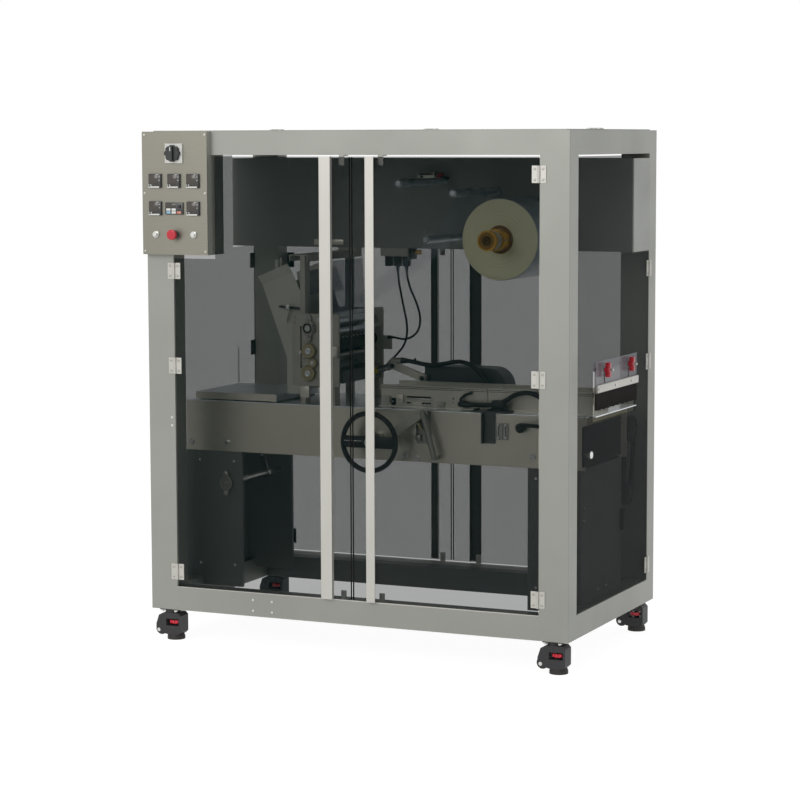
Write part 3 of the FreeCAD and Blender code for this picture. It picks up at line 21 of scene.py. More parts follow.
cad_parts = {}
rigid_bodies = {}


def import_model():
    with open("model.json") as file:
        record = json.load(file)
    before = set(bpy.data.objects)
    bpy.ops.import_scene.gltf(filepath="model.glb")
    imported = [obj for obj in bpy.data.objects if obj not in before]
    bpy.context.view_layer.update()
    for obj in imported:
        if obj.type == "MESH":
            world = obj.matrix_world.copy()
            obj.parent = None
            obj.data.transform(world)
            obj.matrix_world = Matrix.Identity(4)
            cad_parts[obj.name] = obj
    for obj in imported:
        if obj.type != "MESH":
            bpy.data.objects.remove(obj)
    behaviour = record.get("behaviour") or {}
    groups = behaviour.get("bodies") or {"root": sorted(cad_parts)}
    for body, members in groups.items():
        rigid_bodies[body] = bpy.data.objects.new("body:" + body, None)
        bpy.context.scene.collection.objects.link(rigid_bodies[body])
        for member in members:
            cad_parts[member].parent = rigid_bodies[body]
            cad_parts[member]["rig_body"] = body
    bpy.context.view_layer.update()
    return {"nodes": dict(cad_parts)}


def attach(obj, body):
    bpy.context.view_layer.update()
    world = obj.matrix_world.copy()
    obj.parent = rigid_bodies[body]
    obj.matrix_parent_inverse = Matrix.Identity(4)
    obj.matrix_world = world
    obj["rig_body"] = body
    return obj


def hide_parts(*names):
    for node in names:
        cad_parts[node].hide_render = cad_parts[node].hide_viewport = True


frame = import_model()

LOG = logging.getLogger("machine")
ORIGIN = np.array([810.0, 420.5, -15.0])
LEFT, RIGHT = np.array([-1.0, 0.0, 0.0]), np.array([1.0, 0.0, 0.0])
FRONT, BACK = np.array([0.0, -1.0, 0.0]), np.array([0.0, 1.0, 0.0])
DOWN, UP = np.array([0.0, 0.0, -1.0]), np.array([0.0, 0.0, 1.0])


def spot(points: Any) -> np.ndarray:
    """Machine millimetres to frame metres: the origin is taken away, and the rest divided by 1000.

    Args:
        points: One point or an array of points, in machine millimetres.

    Returns:
        The same points in the frame, in metres.
    """
    return (np.asarray(points, float) - ORIGIN) / 1000.0


def linear(code: str) -> tuple[float, float, float, float]:
    """Turn an sRGB hex value into linear colour.

    Args:
        code: Six hex digits after a hash.

    Returns:
        Red, green, blue and an opaque alpha.
    """
    parts = [int(code[i:i + 2], 16) / 255.0 for i in (1, 3, 5)]
    red, green, blue = [c / 12.92 if c <= 0.04045 else ((c + 0.055) / 1.055) ** 2.4 for c in parts]
    return red, green, blue, 1.0


def add_node(tree: bpy.types.NodeTree, kind: str, settings: Optional[dict] = None,
             links: Optional[dict] = None) -> bpy.types.Node:
    """Add one shader node with its settings and links.

    Args:
        tree: The node tree that gets it.
        kind: The node's type name.
        settings: A value for each property, or for each input socket by name or number.
        links: For each input socket, the node and output that feed it.

    Returns:
        The new node.
    """
    made = tree.nodes.new(kind)
    for key, value in (settings or {}).items():
        if isinstance(key, int) or key in made.inputs:
            made.inputs[key].default_value = value
        else:
            setattr(made, key, value)
    for key, (source, output) in (links or {}).items():
        tree.links.new(source.outputs[output], made.inputs[key])
    return made


def blank_tree(owner: Any) -> bpy.types.NodeTree:
    """Empty the node tree of a material or a world.

    Args:
        owner: The material or the world.

    Returns:
        Its tree, without a node.
    """
    owner.use_nodes = True
    owner.node_tree.nodes.clear()
    return owner.node_tree


def show(name: str, data: Any) -> bpy.types.Object:
    """Put an object with its data in the scene.

    Args:
        name: Name of the object.
        data: Its mesh, curve, lamp or camera.

    Returns:
        The object.
    """
    made = bpy.data.objects.new(name, data)
    bpy.context.scene.collection.objects.link(made)
    return made


class Grain(Enum):
    """Which way a surface's fine marks run, as how much its pattern is squeezed along each axis."""

    EVEN = (1.0, 1.0, 1.0)
    ALONG_X = (0.02, 1.0, 1.0)
    ALONG_Y = (1.0, 0.02, 1.0)
    ALONG_Z = (1.0, 1.0, 0.02)


# Noise seldom leaves this middle range, so the range is stretched over the whole of a blend.
NOISE_RANGE = {"From Min": 0.3, "From Max": 0.7}
# Sockets of the mix node by number: the factor, two numbers or two colours, and the mixed colour.
FACTOR, NUMBER_A, NUMBER_B, COLOUR_A, COLOUR_B, MIXED_COLOUR = 0, 2, 3, 6, 7, 2
LOWEST_GLOSS = 0.03
COAT_ROUGHNESS = 0.12


@dataclass(frozen=True)
class Finish:
    """One finish: a base colour clouded towards a second one, with fine marks in gloss and relief."""

    name: str
    colour: str
    shade: str
    roughness: float
    metallic: float = 0.0
    grain: Grain = Grain.EVEN
    grain_mm: float = 4.0
    relief_mm: float = 0.0
    cloud_mm: float = 260.0
    fine_share: float = 0.25
    gloss_spread: float = 0.12
    coat: float = 0.0
    alpha: float = 1.0
    specular: float = 0.5

    def tone(self, tree: bpy.types.NodeTree, pattern: bpy.types.Node, output: Any) -> bpy.types.Node:
        """Mix the finish's two colours by a pattern.

        Args:
            tree: The node tree.
            pattern: Node that gives the pattern.
            output: Which of its outputs does.

        Returns:
            The node with the mixed colour.
        """
        spread = add_node(tree, "ShaderNodeMapRange", NOISE_RANGE, {"Value": (pattern, output)})
        return add_node(tree, "ShaderNodeMix",
                        {"data_type": "RGBA", COLOUR_A: linear(self.colour), COLOUR_B: linear(self.shade)},
                        {FACTOR: (spread, "Result")})

    def base_colour(self, tree: bpy.types.NodeTree, place: bpy.types.Node,
                    pattern: bpy.types.Node) -> bpy.types.Node:
        """Colour the surface by the pattern that also sets its gloss.

        Args:
            tree: The node tree.
            place: Node with the object's coordinates, for a finish that has its own pattern.
            pattern: Clouds mixed with fine marks.

        Returns:
            The node with the colour.
        """
        return self.tone(tree, pattern, 0)

    def build(self) -> bpy.types.Material:
        """Make the material once, and hand out the same one after that.

        Returns:
            The material with its nodes.
        """
        known = bpy.data.materials.get(self.name)
        if known is not None:
            return known
        material = bpy.data.materials.new(self.name)
        tree = blank_tree(material)
        place = add_node(tree, "ShaderNodeTexCoord")
        squeeze = [1000.0 / self.grain_mm * share for share in self.grain.value]
        grained = add_node(tree, "ShaderNodeMapping", {"Scale": squeeze}, {"Vector": (place, "Object")})
        fine = add_node(tree, "ShaderNodeTexNoise", {"Scale": 1.0, "Detail": 3.0, "Roughness": 0.6},
                        {"Vector": (grained, "Vector")})
        cloud = add_node(tree, "ShaderNodeTexNoise",
                         {"Scale": 1000.0 / self.cloud_mm, "Detail": 2.0, "Roughness": 0.5},
                         {"Vector": (place, "Object")})
        pattern = add_node(tree, "ShaderNodeMix", {"data_type": "FLOAT", FACTOR: self.fine_share},
                           {NUMBER_A: (cloud, "Fac"), NUMBER_B: (fine, "Fac")})
        gloss = add_node(tree, "ShaderNodeMapRange",
                         {**NOISE_RANGE, "To Min": max(LOWEST_GLOSS, self.roughness - self.gloss_spread / 2),
                          "To Max": min(1.0, self.roughness + self.gloss_spread / 2)},
                         {"Value": (pattern, 0)})
        shader = add_node(tree, "ShaderNodeBsdfPrincipled",
                          {"Metallic": self.metallic, "Alpha": self.alpha, "Coat Weight": self.coat,
                           "Coat Roughness": COAT_ROUGHNESS, "Specular IOR Level": self.specular},
                          {"Base Color": (self.base_colour(tree, place, pattern), MIXED_COLOUR),
                           "Roughness": (gloss, "Result")})
        if self.relief_mm:
            relief = add_node(tree, "ShaderNodeBump", {"Distance": self.relief_mm / 1000.0, "Strength": 1.0},
                              {"Height": (fine, "Fac")})
            tree.links.new(relief.outputs["Normal"], shader.inputs["Normal"])
        add_node(tree, "ShaderNodeOutputMaterial", links={"Surface": (shader, "BSDF")})
        return material


# Silver grey powder coat on the welded frame: an even satin skin, a little metallic.
FRAME_COAT = Finish("silver_grey_powder_coat", "#95968F", "#8E8F88", 0.42, 0.25)
# The same coat on the cabinet inside the doors, a shade greener.
CABINET_COAT = Finish("grey_green_powder_coat", "#9A9B96", "#92938E", 0.5)
# Blue grey enamel on the folded pedestals, a little glossier.
PEDESTAL_COAT = Finish("blue_grey_enamel", "#777876", "#6F706E", 0.42, specular=0.3)
# Graphite enamel on covers and end plates.
COVER_COAT = Finish("graphite_enamel", "#4C4E50", "#444648", 0.45)
# Worn black enamel on the base rail and brackets: dark grey, as dust dulls its sheen.
RAIL_COAT = Finish("black_enamel", "#5A5A58", "#525250", 0.45)
# Matt black enamel on the end plate, rollers, races, the clamp and the pulleys: so little gloss that only
# the shape shows. The same black is painted shade in slots, grooves, keyholes, the hinge's gap and on the
# rear grips' inner faces, and it darkens the doors' meeting edges.
BLACK_ENAMEL_AND_PAINTED_SHADE = Finish("matt_black_enamel_and_painted_shade", "#1E1E1D", "#181817", 0.5, specular=0.15)
# Pale hammered enamel on the film head's plates and chute.
HEAD_COAT = Finish("pale_warm_enamel", "#C0BEB2", "#B4B2A6", 0.42)
# The same enamel, newer and whiter, on the chute and the small blocks.
CHUTE_COAT = Finish("chute_enamel", "#D3D3C7", "#C7C7BB", 0.45)
# Brushed stainless sheet: long fine scratches that draw the light out across them.
BRUSHED_PANEL = Finish("brushed_stainless_panel", "#868479", "#7D7B70", 0.4, 0.75, Grain.ALONG_X, 2.0,
                       fine_share=0.5, gloss_spread=0.06)
# The skirts' sheet is brushed more finely and reads warmer and brighter.
BRUSHED_SHEET = Finish("brushed_stainless_sheet", "#DEDACB", "#CECABB", 0.34, 0.85, Grain.ALONG_X, 2.5,
                       fine_share=0.35)
# The infeed cover has a satin skin and a cool cast.
COVER_SHEET = Finish("satin_stainless_cover", "#C4CACD", "#B4BABD", 0.34, 0.5, Grain.ALONG_X, 2.5)
# Packs have polished the deck and the tray, so they mirror the light in soft streaks.
DECK_SHEET = Finish("polished_stainless_deck", "#E4EAEC", "#D6DCDE", 0.24, 0.6, Grain.ALONG_X, 2.5,
                    fine_share=0.3)
# Satin anodised aluminium on the door grips: pale, dull and slightly warm, drawn upwards.
ANODISED = Finish("satin_anodised_aluminium", "#C1BFB8", "#B8B6AF", 0.38, 0.35, Grain.ALONG_Z, 2.0)
# Beige anodised aluminium on rails and blocks, drawn lengthways and brighter.
RAIL_ALUMINIUM = Finish("beige_anodised_aluminium", "#E2DFD1", "#D6D3C5", 0.36, 0.6, Grain.ALONG_X, 2.0)
# Die cast zinc with a satin chrome skin on the hinges.
CAST_ZINC = Finish("satin_plated_zinc", "#C0BEB7", "#B6B4AD", 0.32, 0.4)
# Ground and zinc plated steel on shafts, screws and levers.
PLATED_STEEL = Finish("zinc_plated_steel", "#D2D2CE", "#C2C2BE", 0.28, 1.0)
# Machined steel left bare, which has greyed.
DULL_STEEL = Finish("dull_machined_steel", "#A9A8A0", "#999890", 0.36, 0.9)
# Turned aluminium tube on the guide rollers: rings too fine to see, so only a long soft highlight.
ROLLER_TUBE = Finish("turned_aluminium_tube", "#DCE3E9", "#CDD4DA", 0.28, 0.55, Grain.ALONG_Y, 2.0)
# Knurled and blackened steel: the knurl is too fine to show, so it only spreads the highlight.
DARK_ROLLER = Finish("blackened_knurled_steel", "#3A3A38", "#2E2E2C", 0.42, 0.5)
# Machined brass, olive where the cutting oil has dulled it.
GEAR_BRASS = Finish("oiled_brass", "#AFA582", "#9A916F", 0.34, 0.6)
# Tarnished brass in the spindle's grooves, nearly brown.
DARK_BRASS = Finish("tarnished_brass", "#8F6A22", "#7A5919", 0.4, 0.6)
# Lacquered brass on the spindle's nose: deep yellow under a clear skin.
HUB_BRASS = Finish("lacquered_brass", "#E9B23A", "#D49F30", 0.3, 0.7)
# Glass filled nylon and ABS: moulded with a fine spark eroded texture.
BLACK_NYLON = Finish("black_glass_filled_nylon", "#232425", "#1C1D1E", 0.46)
DIAL_PLASTIC = Finish("dark_moulded_dial", "#333434", "#2B2C2C", 0.4)
DIAL_WINDOW = Finish("smoked_dial_window", "#453F38", "#3E3932", 0.2)
PALE_PLASTIC = Finish("pale_moulded_abs", "#D6D6D2", "#CDCDC9", 0.35)
SKY_PLASTIC = Finish("sky_blue_key", "#8DB4CD", "#83AAC3", 0.35)
CORAL_PLASTIC = Finish("coral_key", "#CD8072", "#C37668", 0.35)
RED_PLASTIC = Finish("signal_red_abs", "#BC1E30", "#A91A2A", 0.28, coat=0.2)
# The same red painted lighter: painted light on the clamp ring inside the sheets; the caster nuts and pads take it
# too.
LIGHTER_SIGNAL_RED = Finish("signal_red_inside", "#E8263B", "#D82237", 0.28, coat=0.2)
YELLOW_BAND = Finish("yellow_polyester_band", "#E6CC33", "#D6BC2B", 0.4)
# Wound shrink film: many clear layers turn milky and keep a glossy outer skin.
WOUND_FILM = Finish("wound_film_skin", "#C9D2D8", "#BBC4CA", 0.24, grain=Grain.ALONG_Y, grain_mm=6.0,
                    coat=0.4)
# One layer of the film: hardly there but for a blue sheen.
FILM_WEB = Finish("single_film_web", "#AFC0DC", "#A4B5D2", 0.12, alpha=0.12, specular=0.3)
# Brown card tube, dry and without a highlight.
CARD_CORE = Finish("brown_card_core", "#8C6A40", "#7A5A34", 0.7)
# Film folded over itself, where its tint adds up to blue.
BLUE_WEB = Finish("stacked_film_web", "#4E628A", "#44587E", 0.2, alpha=0.35, specular=0.2)
# Smoke tinted acrylic: clear enough to see through, its polish broken by a film of dust.
CLEAR_SHEET = Finish("smoke_tinted_acrylic", "#0B1B1B", "#0A1919", 0.1, alpha=0.385, gloss_spread=0.0,
                     specular=0.01)
# Soft vinyl in the same tint, on the flap over the way in.
SOFT_SHEET = Finish("clear_soft_vinyl", "#0B1B1B", "#0A1919", 0.14, alpha=0.385, gloss_spread=0.0,
                    specular=0.01)
# The same acrylic on the outlet end's side door, made darker and less clear: painted shade on that side.
DARKER_SIDE_SHEET = Finish("smoke_acrylic_painted_darker", "#101A1A", "#0E1818", 0.1, alpha=0.47, gloss_spread=0.0,
                    specular=0.01)
# Polycarbonate on the guard, scuffed to a grey haze.
GUARD_SHEET = Finish("grey_polycarbonate", "#7E7D82", "#78777C", 0.16, alpha=0.6, specular=0.1)
# Nylon bristles, drawn coarser than real ones so that they show as strands.
BRISTLES = Finish("black_nylon_bristles", "#242120", "#121110", 0.6, grain=Grain.ALONG_Z, grain_mm=3.0,
                  relief_mm=0.2, fine_share=0.8, specular=0.15)
# Cast aluminium caster housings in charcoal paint, faintly uneven.
CASTER_COAT = Finish("charcoal_cast_housing", "#38383A", "#303032", 0.5, specular=0.3)
# Moulded rubber: soft black with no clear highlight, warmer on the pads, which have picked up dust.
PAD_RUBBER = Finish("moulded_pad_rubber", "#26241F", "#1E1C18", 0.7)
BELT_RUBBER = Finish("toothed_belt_rubber", "#2B2C2C", "#242525", 0.6)
# PVC cable jacket, black with a thin bright line of light.
CABLE_JACKET = Finish("black_cable_jacket", "#1C1D1F", "#151618", 0.38)
# Braided sleeve over a loom, its strands drawn coarser than real ones so that they show.
LOOM_BRAID = Finish("braided_loom_sleeve", "#1B1C1E", "#101113", 0.55, grain_mm=3.0, relief_mm=0.2,
                    fine_share=0.7)


class RolledEdges(Finish):
    """Cut end of the film roll: the tone changes only with the distance from the roll's axis."""

    def base_colour(self, tree: bpy.types.NodeTree, place: bpy.types.Node,
                    pattern: bpy.types.Node) -> bpy.types.Node:
        """Ring the roll: noise is read at the distance from the axis, so it can't vary along it.

        Args:
            tree: The node tree.
            place: Node with the object's coordinates.
            pattern: The plain pattern, which only the gloss takes here.

        Returns:
            The node with the colour.
        """
        centre = spot((1215.0, 0.0, 1423.0))
        moved = add_node(tree, "ShaderNodeMapping",
                         {"Location": (-centre[0], 0.0, -centre[2]), "Scale": (1.0, 0.0, 1.0)},
                         {"Vector": (place, "Object")})
        away = add_node(tree, "ShaderNodeVectorMath", {"operation": "LENGTH"}, {0: (moved, "Vector")})
        rings = add_node(tree, "ShaderNodeTexNoise",
                         {"noise_dimensions": "1D", "Scale": 160.0, "Detail": 6.0, "Roughness": 0.7},
                         {"W": (away, "Value")})
        return self.tone(tree, rings, "Fac")


# Edges of thousands of film layers: they scatter the light, so the end looks cloudy and cream.
FILM_END = RolledEdges("wound_film_end", "#F2F2C9", "#E2E2B8", 0.42)


@dataclass
class Skin:
    """Points in machine millimetres, the faces between them, and the finish they take."""

    points: np.ndarray
    faces: list[tuple[int, ...]]
    finish: Finish


def ring_loop(count: int, around: int) -> np.ndarray:
    """Join each ring to the next by quads, and the last one to the first.

    Args:
        count: How many rings.
        around: How many points in each.

    Returns:
        Point numbers, by ring, place round it and corner.
    """
    here = np.arange(count * around).reshape(count, around)
    above = np.roll(here, -1, 0)
    return np.stack([here, np.roll(here, -1, 1), np.roll(above, -1, 1), above], -1)


def closed_stack(rings: np.ndarray, finish: Finish) -> Skin:
    """Close a stack of rings into one skin.

    Each ring is joined to the next by quads, and the two ends are closed by fans from their mean
    points. Rings that run anticlockwise seen from the far end give faces that point outwards.

    Args:
        rings: Points by ring and by place round it, in millimetres.
        finish: What the skin is made of.

    Returns:
        The closed skin.
    """
    count, around, _ = rings.shape
    quads = ring_loop(count, around)[:-1]
    here = np.arange(around)
    after = np.roll(here, -1)
    low, high = count * around, count * around + 1
    last = (count - 1) * around
    bottom = np.stack([np.full(around, low), after, here], -1)
    top = np.stack([np.full(around, high), last + here, last + after], -1)
    points = np.vstack([rings.reshape(-1, 3), rings[0].mean(0), rings[-1].mean(0)])
    faces = [tuple(q) for q in quads.reshape(-1, 4).tolist()]
    faces += [tuple(t) for t in np.vstack([bottom, top]).tolist()]
    return Skin(points, faces, finish)


def across(way: np.ndarray) -> tuple[np.ndarray, np.ndarray]:
    """Two unit vectors square to a direction and to each other, right handed with it.

    Args:
        way: Unit direction.

    Returns:
        The two cross directions.
    """
    helper = UP if abs(way[2]) < 0.9 else RIGHT
    first = np.cross(helper, way)
    first /= np.linalg.norm(first)
    return first, np.cross(way, first)


def rings_about(profile: Any, start: Any, way: np.ndarray, around: int) -> np.ndarray:
    """Turn a profile about an axis.

    A point is start + way * s + r * (first * cos t + second * sin t), for each distance s and
    radius r of the profile and each angle t.

    Args:
        profile: Distance along the axis and radius, from the start to the far end.
        start: Where distance nought is, in millimetres.
        way: Direction of the axis.
        around: How many points go round.

    Returns:
        Points by ring and by place round it.
    """
    shape = np.asarray(profile, float)
    way = np.asarray(way, float) / np.linalg.norm(way)
    first, second = across(way)
    angle = np.linspace(0.0, 2 * math.pi, around, endpoint=False)
    ring = np.cos(angle)[:, None] * first + np.sin(angle)[:, None] * second
    return np.asarray(start, float) + shape[:, :1, None] * way + shape[:, 1, None, None] * ring


def turned(profile: Any, start: Any, way: np.ndarray, finish: Finish, around: int = 40) -> Skin:
    """Closed skin of a profile that is turned about an axis, as in rings_about."""
    return closed_stack(rings_about(profile, start, way, around), finish)


def rod(length: float, radius: float, edge: float, start: Any, way: np.ndarray, finish: Finish,
        around: int) -> Skin:
    """Round bar whose two rims are quarter circles.

    Args:
        length: Length of the bar.
        radius: Its radius.
        edge: Radius of the rims.
        start: Centre of its near end, in millimetres.
        way: Direction of its axis.
        finish: What it is made of.
        around: How many points go round.

    Returns:
        The bar's skin.
    """
    angle = np.linspace(0.0, math.pi / 2, 4)
    rise = np.stack([edge * (1 - np.cos(angle)), radius - edge + edge * np.sin(angle)], -1)
    fall = np.stack([length - rise[::-1, 0], rise[::-1, 1]], -1)
    return turned(np.vstack([rise, fall]), start, way, finish, around)


def block(low: Sequence[float], high: Sequence[float], edge: float, finish: Finish, steps: int = 3) -> Skin:
    """Box with rounded edges and corners.

    The rings are rounded rectangles. At each end they shrink along a quarter circle, and as their
    corner centres stay put, every edge of the box gets the same radius.

    Args:
        low: Lowest corner, in millimetres.
        high: Highest corner.
        edge: Radius of the edges.
        finish: What it is made of.
        steps: Points on each quarter circle.

    Returns:
        The box's skin.
    """
    low, high = np.minimum(low, high).astype(float), np.maximum(low, high).astype(float)
    edge = min(edge, float((high - low).min()) / 2.01)
    quarter = np.linspace(0.0, math.pi / 2, steps)
    angle = (quarter[None, :] + np.arange(4)[:, None] * math.pi / 2).ravel()
    corner = np.repeat([(1, 1), (0, 1), (0, 0), (1, 0)], steps, axis=0)
    centre = np.where(corner == 1, high[:2] - edge, low[:2] + edge)
    shrink = edge * (1 - np.sin(quarter))
    inset = np.concatenate([shrink, shrink[::-1]])
    lift = edge * (1 - np.cos(quarter))
    height = np.concatenate([low[2] + lift, high[2] - lift[::-1]])
    ring = np.stack([np.cos(angle), np.sin(angle)], -1)
    flat = centre[None] + (edge - inset)[:, None, None] * ring[None]
    rings = np.concatenate([flat, np.broadcast_to(height[:, None, None], flat.shape[:2] + (1,))], -1)
    return closed_stack(rings, finish)


def prism(outline: np.ndarray, start: Any, way: np.ndarray, thickness: float, chamfer: float,
          finish: Finish) -> Skin:
    """Flat piece with a closed outline and chamfered rims.

    A point is start + way * s + (first * u + second * v) * k, where k draws the first and the last
    ring in by the chamfer.

    Args:
        outline: Points (u, v) round the piece, anticlockwise seen against the way.
        start: Centre of the near face, in millimetres.
        way: Direction of the thickness.
        thickness: How thick it is.
        chamfer: How far the rims are drawn in.
        finish: What it is made of.

    Returns:
        The piece's skin.
    """
    first, second = across(np.asarray(way, float))
    flat = outline[:, :1] * first + outline[:, 1:] * second
    reach = np.abs(outline).max()
    along = np.array([0.0, chamfer, thickness - chamfer, thickness])
    share = np.array([1 - chamfer / reach, 1.0, 1.0, 1 - chamfer / reach])
    rings = np.asarray(start, float) + along[:, None, None] * way + share[:, None, None] * flat
    return closed_stack(rings, finish)


def gear_outline(radius: float, teeth: int, depth: float) -> np.ndarray:
    """Outline of a spur gear: its radius swings between root and tip as a softened square wave.

    Args:
        radius: Tip radius.
        teeth: How many teeth.
        depth: Depth of the teeth.

    Returns:
        Points (u, v) round the gear.
    """
    angle = np.linspace(0.0, 2 * math.pi, teeth * 8, endpoint=False)
    wave = np.clip(np.sin(angle * teeth) * 1.8, -1, 1)
    reach = radius - depth / 2 + depth / 2 * wave
    return np.stack([reach * np.cos(angle), reach * np.sin(angle)], -1)


def copies(template: Skin, places: Sequence[Any], ways: Any) -> Skin:
    """Set copies of a skin that is drawn about the origin along Z down at many places.

    A copy's point is place + x * first + y * second + z * way.

    Args:
        template: The skin to repeat.
        places: Where each copy's origin goes, in millimetres.
        ways: Where each copy's Z points, or one direction for them all.

    Returns:
        One skin with all the copies.
    """
    places = np.asarray(places, float)
    ways = np.broadcast_to(np.asarray(ways, float), places.shape)
    bases = np.array([np.stack([*across(way), way]) for way in ways])
    points = places[:, None, :] + np.einsum("pk,nkj->npj", template.points, bases)
    size = len(template.points)
    faces = [tuple(v + size * n for v in face) for n in range(len(places)) for face in template.faces]
    return Skin(points.reshape(-1, 3), faces, template.finish)


def at_depth(y: float, pairs: Sequence[tuple[float, float]]) -> list[tuple[float, float, float]]:
    """Points on an upright plane at depth y, from pairs (x, z)."""
    return [(x, y, z) for x, z in pairs]


def swept(path: np.ndarray, radii: Any, finish: Finish, around: int = 14) -> Skin:
    """Tube along a path: each ring lies square to it, kept from twisting by one helper direction.

    Args:
        path: Centre points in millimetres.
        radii: One radius, or one for each point.
        finish: What it is made of.
        around: How many points go round.

    Returns:
        The tube's skin.
    """
    path = np.asarray(path, float)
    tangent = np.gradient(path, axis=0)
    tangent /= np.linalg.norm(tangent, axis=1)[:, None]
    helper = np.array([0.31, 0.83, 0.46])
    first = np.cross(helper, tangent)
    first /= np.linalg.norm(first, axis=1)[:, None]
    second = np.cross(tangent, first)
    angle = np.linspace(0.0, 2 * math.pi, around, endpoint=False)
    size = np.broadcast_to(np.asarray(radii, float), (len(path),))[:, None, None]
    rings = path[:, None] + size * (np.cos(angle)[None, :, None] * first[:, None]
                                    + np.sin(angle)[None, :, None] * second[:, None])
    return closed_stack(rings, finish)


def smooth_by_angle(mesh: bpy.types.Mesh, degrees: float = 34.0) -> None:
    """Shade a mesh smooth, with sharp edges wherever its faces turn by more than an angle.

    Args:
        mesh: The mesh.
        degrees: The angle.
    """
    work = bmesh.new()
    work.from_mesh(mesh)
    for face in work.faces:
        face.smooth = True
    for edge in work.edges:
        edge.smooth = len(edge.link_faces) == 2 and edge.calc_face_angle(0.0) < math.radians(degrees)
    work.to_mesh(mesh)
    work.free()


def make_piece(name: str, skins: Sequence[Skin], body: str = "frame",
               replaces: Sequence[str] = ()) -> bpy.types.Object:
    """Join skins into one object that rides on a body.

    Args:
        name: Name of the piece.
        skins: Its skins, each with its own finish.
        body: The body that carries it.
        replaces: CAD nodes that it stands for.

    Returns:
        The object.
    """
    starts = np.cumsum([0] + [len(s.points) for s in skins]).tolist()
    faces = [tuple(v + start for v in face) for skin, start in zip(skins, starts) for face in skin.faces]
    mesh = bpy.data.meshes.new(name)
    mesh.from_pydata(spot(np.vstack([s.points for s in skins])), [], faces)
    finishes = list(dict.fromkeys(s.finish for s in skins))
    for finish in finishes:
        mesh.materials.append(finish.build())
    index = np.concatenate([np.full(len(s.faces), finishes.index(s.finish)) for s in skins])
    mesh.polygons.foreach_set("material_index", index.astype(np.int32))
    mesh.update()
    smooth_by_angle(mesh)
    return settle(show(name, mesh), body, replaces)


def settle(piece: bpy.types.Object, body: str,
           replaces: Sequence[str] = ()) -> bpy.types.Object:
    """Let a piece ride on its body and hide what it stands for.

    Args:
        piece: The object.
        body: The body that carries it.
        replaces: CAD nodes that it stands for.

    Returns:
        The same object.
    """
    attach(piece, body)
    if replaces:
        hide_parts(*replaces)
    LOG.info("piece %s on %s", piece.name, body)
    return piece


def body_of(node: str) -> str:
    """Name of the body that carries a CAD node."""
    return frame["nodes"][node]["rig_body"]


def dress(node: str, finish: Finish) -> None:
    """Give a CAD node its finish and leave its shape.

    Args:
        node: Name of the node.
        finish: What it is made of.
    """
    data = frame["nodes"][node].data
    data.materials.clear()
    data.materials.append(finish.build())
    LOG.info("node %s in %s", node, finish.name)


def reach_of(node: str) -> tuple[np.ndarray, np.ndarray]:
    """Lowest and highest corner of a CAD node, in machine millimetres.

    Args:
        node: Name of the node.

    Returns:
        The two corners.
    """
    mesh = frame["nodes"][node].data
    flat = np.empty(len(mesh.vertices) * 3)
    mesh.vertices.foreach_get("co", flat)
    points = flat.reshape(-1, 3) * 1000.0 + ORIGIN
    return points.min(0), points.max(0)


@dataclass(frozen=True)
class Patch:
    """Part of a node that takes another finish: the faces whose middles lie in a box."""

    low: tuple[float, float, float]
    high: tuple[float, float, float]
    finish: Finish


# Doubled points lie closer than this, in metres, and flat faces turn by less than this, in degrees.
DOUBLED = 2e-6
FLAT_DEGREES = 0.4
EDGE_DEGREES = 40.0


def skin_over(node: str, finish: Finish, bevel_mm: float = 0.6,
              patches: Sequence[Patch] = ()) -> bpy.types.Object:
    """Stand a smooth copy in for a CAD node.

    The copy's doubled points are merged and its flat faces joined, its curved faces are shaded
    smooth, and a narrow bevel eases the edges so that they catch the light.

    Args:
        node: Name of the node.
        finish: What it is made of.
        bevel_mm: Width of the bevel, or nought for none.
        patches: Boxes whose faces take another finish.

    Returns:
        The copy.
    """
    mesh = frame["nodes"][node].data.copy()
    mesh.materials.clear()
    mesh.materials.append(finish.build())
    work = bmesh.new()
    work.from_mesh(mesh)
    bmesh.ops.remove_doubles(work, verts=work.verts, dist=DOUBLED)
    for face in work.faces:
        face.material_index = 0
    bmesh.ops.dissolve_limit(work, angle_limit=math.radians(FLAT_DEGREES), verts=work.verts,
                             edges=work.edges)
    for number, patch in enumerate(patches, 1):
        mesh.materials.append(patch.finish.build())
        low, high = spot(patch.low), spot(patch.high)
        for face in work.faces:
            middle = np.array(face.calc_center_median())
            if (middle >= low).all() and (middle <= high).all():
                face.material_index = number
    work.to_mesh(mesh)
    work.free()
    smooth_by_angle(mesh)
    piece = show(node + "_skin", mesh)
    if bevel_mm:
        ease = piece.modifiers.new("eased_edges", "BEVEL")
        ease.width = bevel_mm / 1000.0
        ease.segments = 2
        ease.limit_method = "ANGLE"
        ease.angle_limit = math.radians(EDGE_DEGREES)
        ease.harden_normals = True
    return settle(piece, body_of(node), [node])


def screw(radius: float, height: float, finish: Finish = PLATED_STEEL) -> Skin:
    """Button head with a driving recess, about the origin along Z.

    Args:
        radius: Radius of the head.
        height: Height of the head.
        finish: What it is made of.

    Returns:
        The head's skin.
    """
    profile = [(0.0, radius), (height * 0.45, radius), (height * 0.85, radius * 0.82),
               (height, radius * 0.5), (height, radius * 0.34), (height * 0.45, radius * 0.3)]
    return turned(profile, (0, 0, 0), UP, finish, 14)


def hex_bolt(radius: float, height: float, finish: Finish = PLATED_STEEL) -> Skin:
    """Hexagon head on its washer, about the origin along Z.

    Args:
        radius: Radius across the corners.
        height: Height of head and washer.
        finish: What it is made of.

    Returns:
        The head's skin.
    """
    profile = [(0.0, radius * 1.35), (height * 0.2, radius * 1.35), (height * 0.2, radius),
               (height * 0.85, radius), (height, radius * 0.86)]
    return turned(profile, (0, 0, 0), UP, finish, 6)


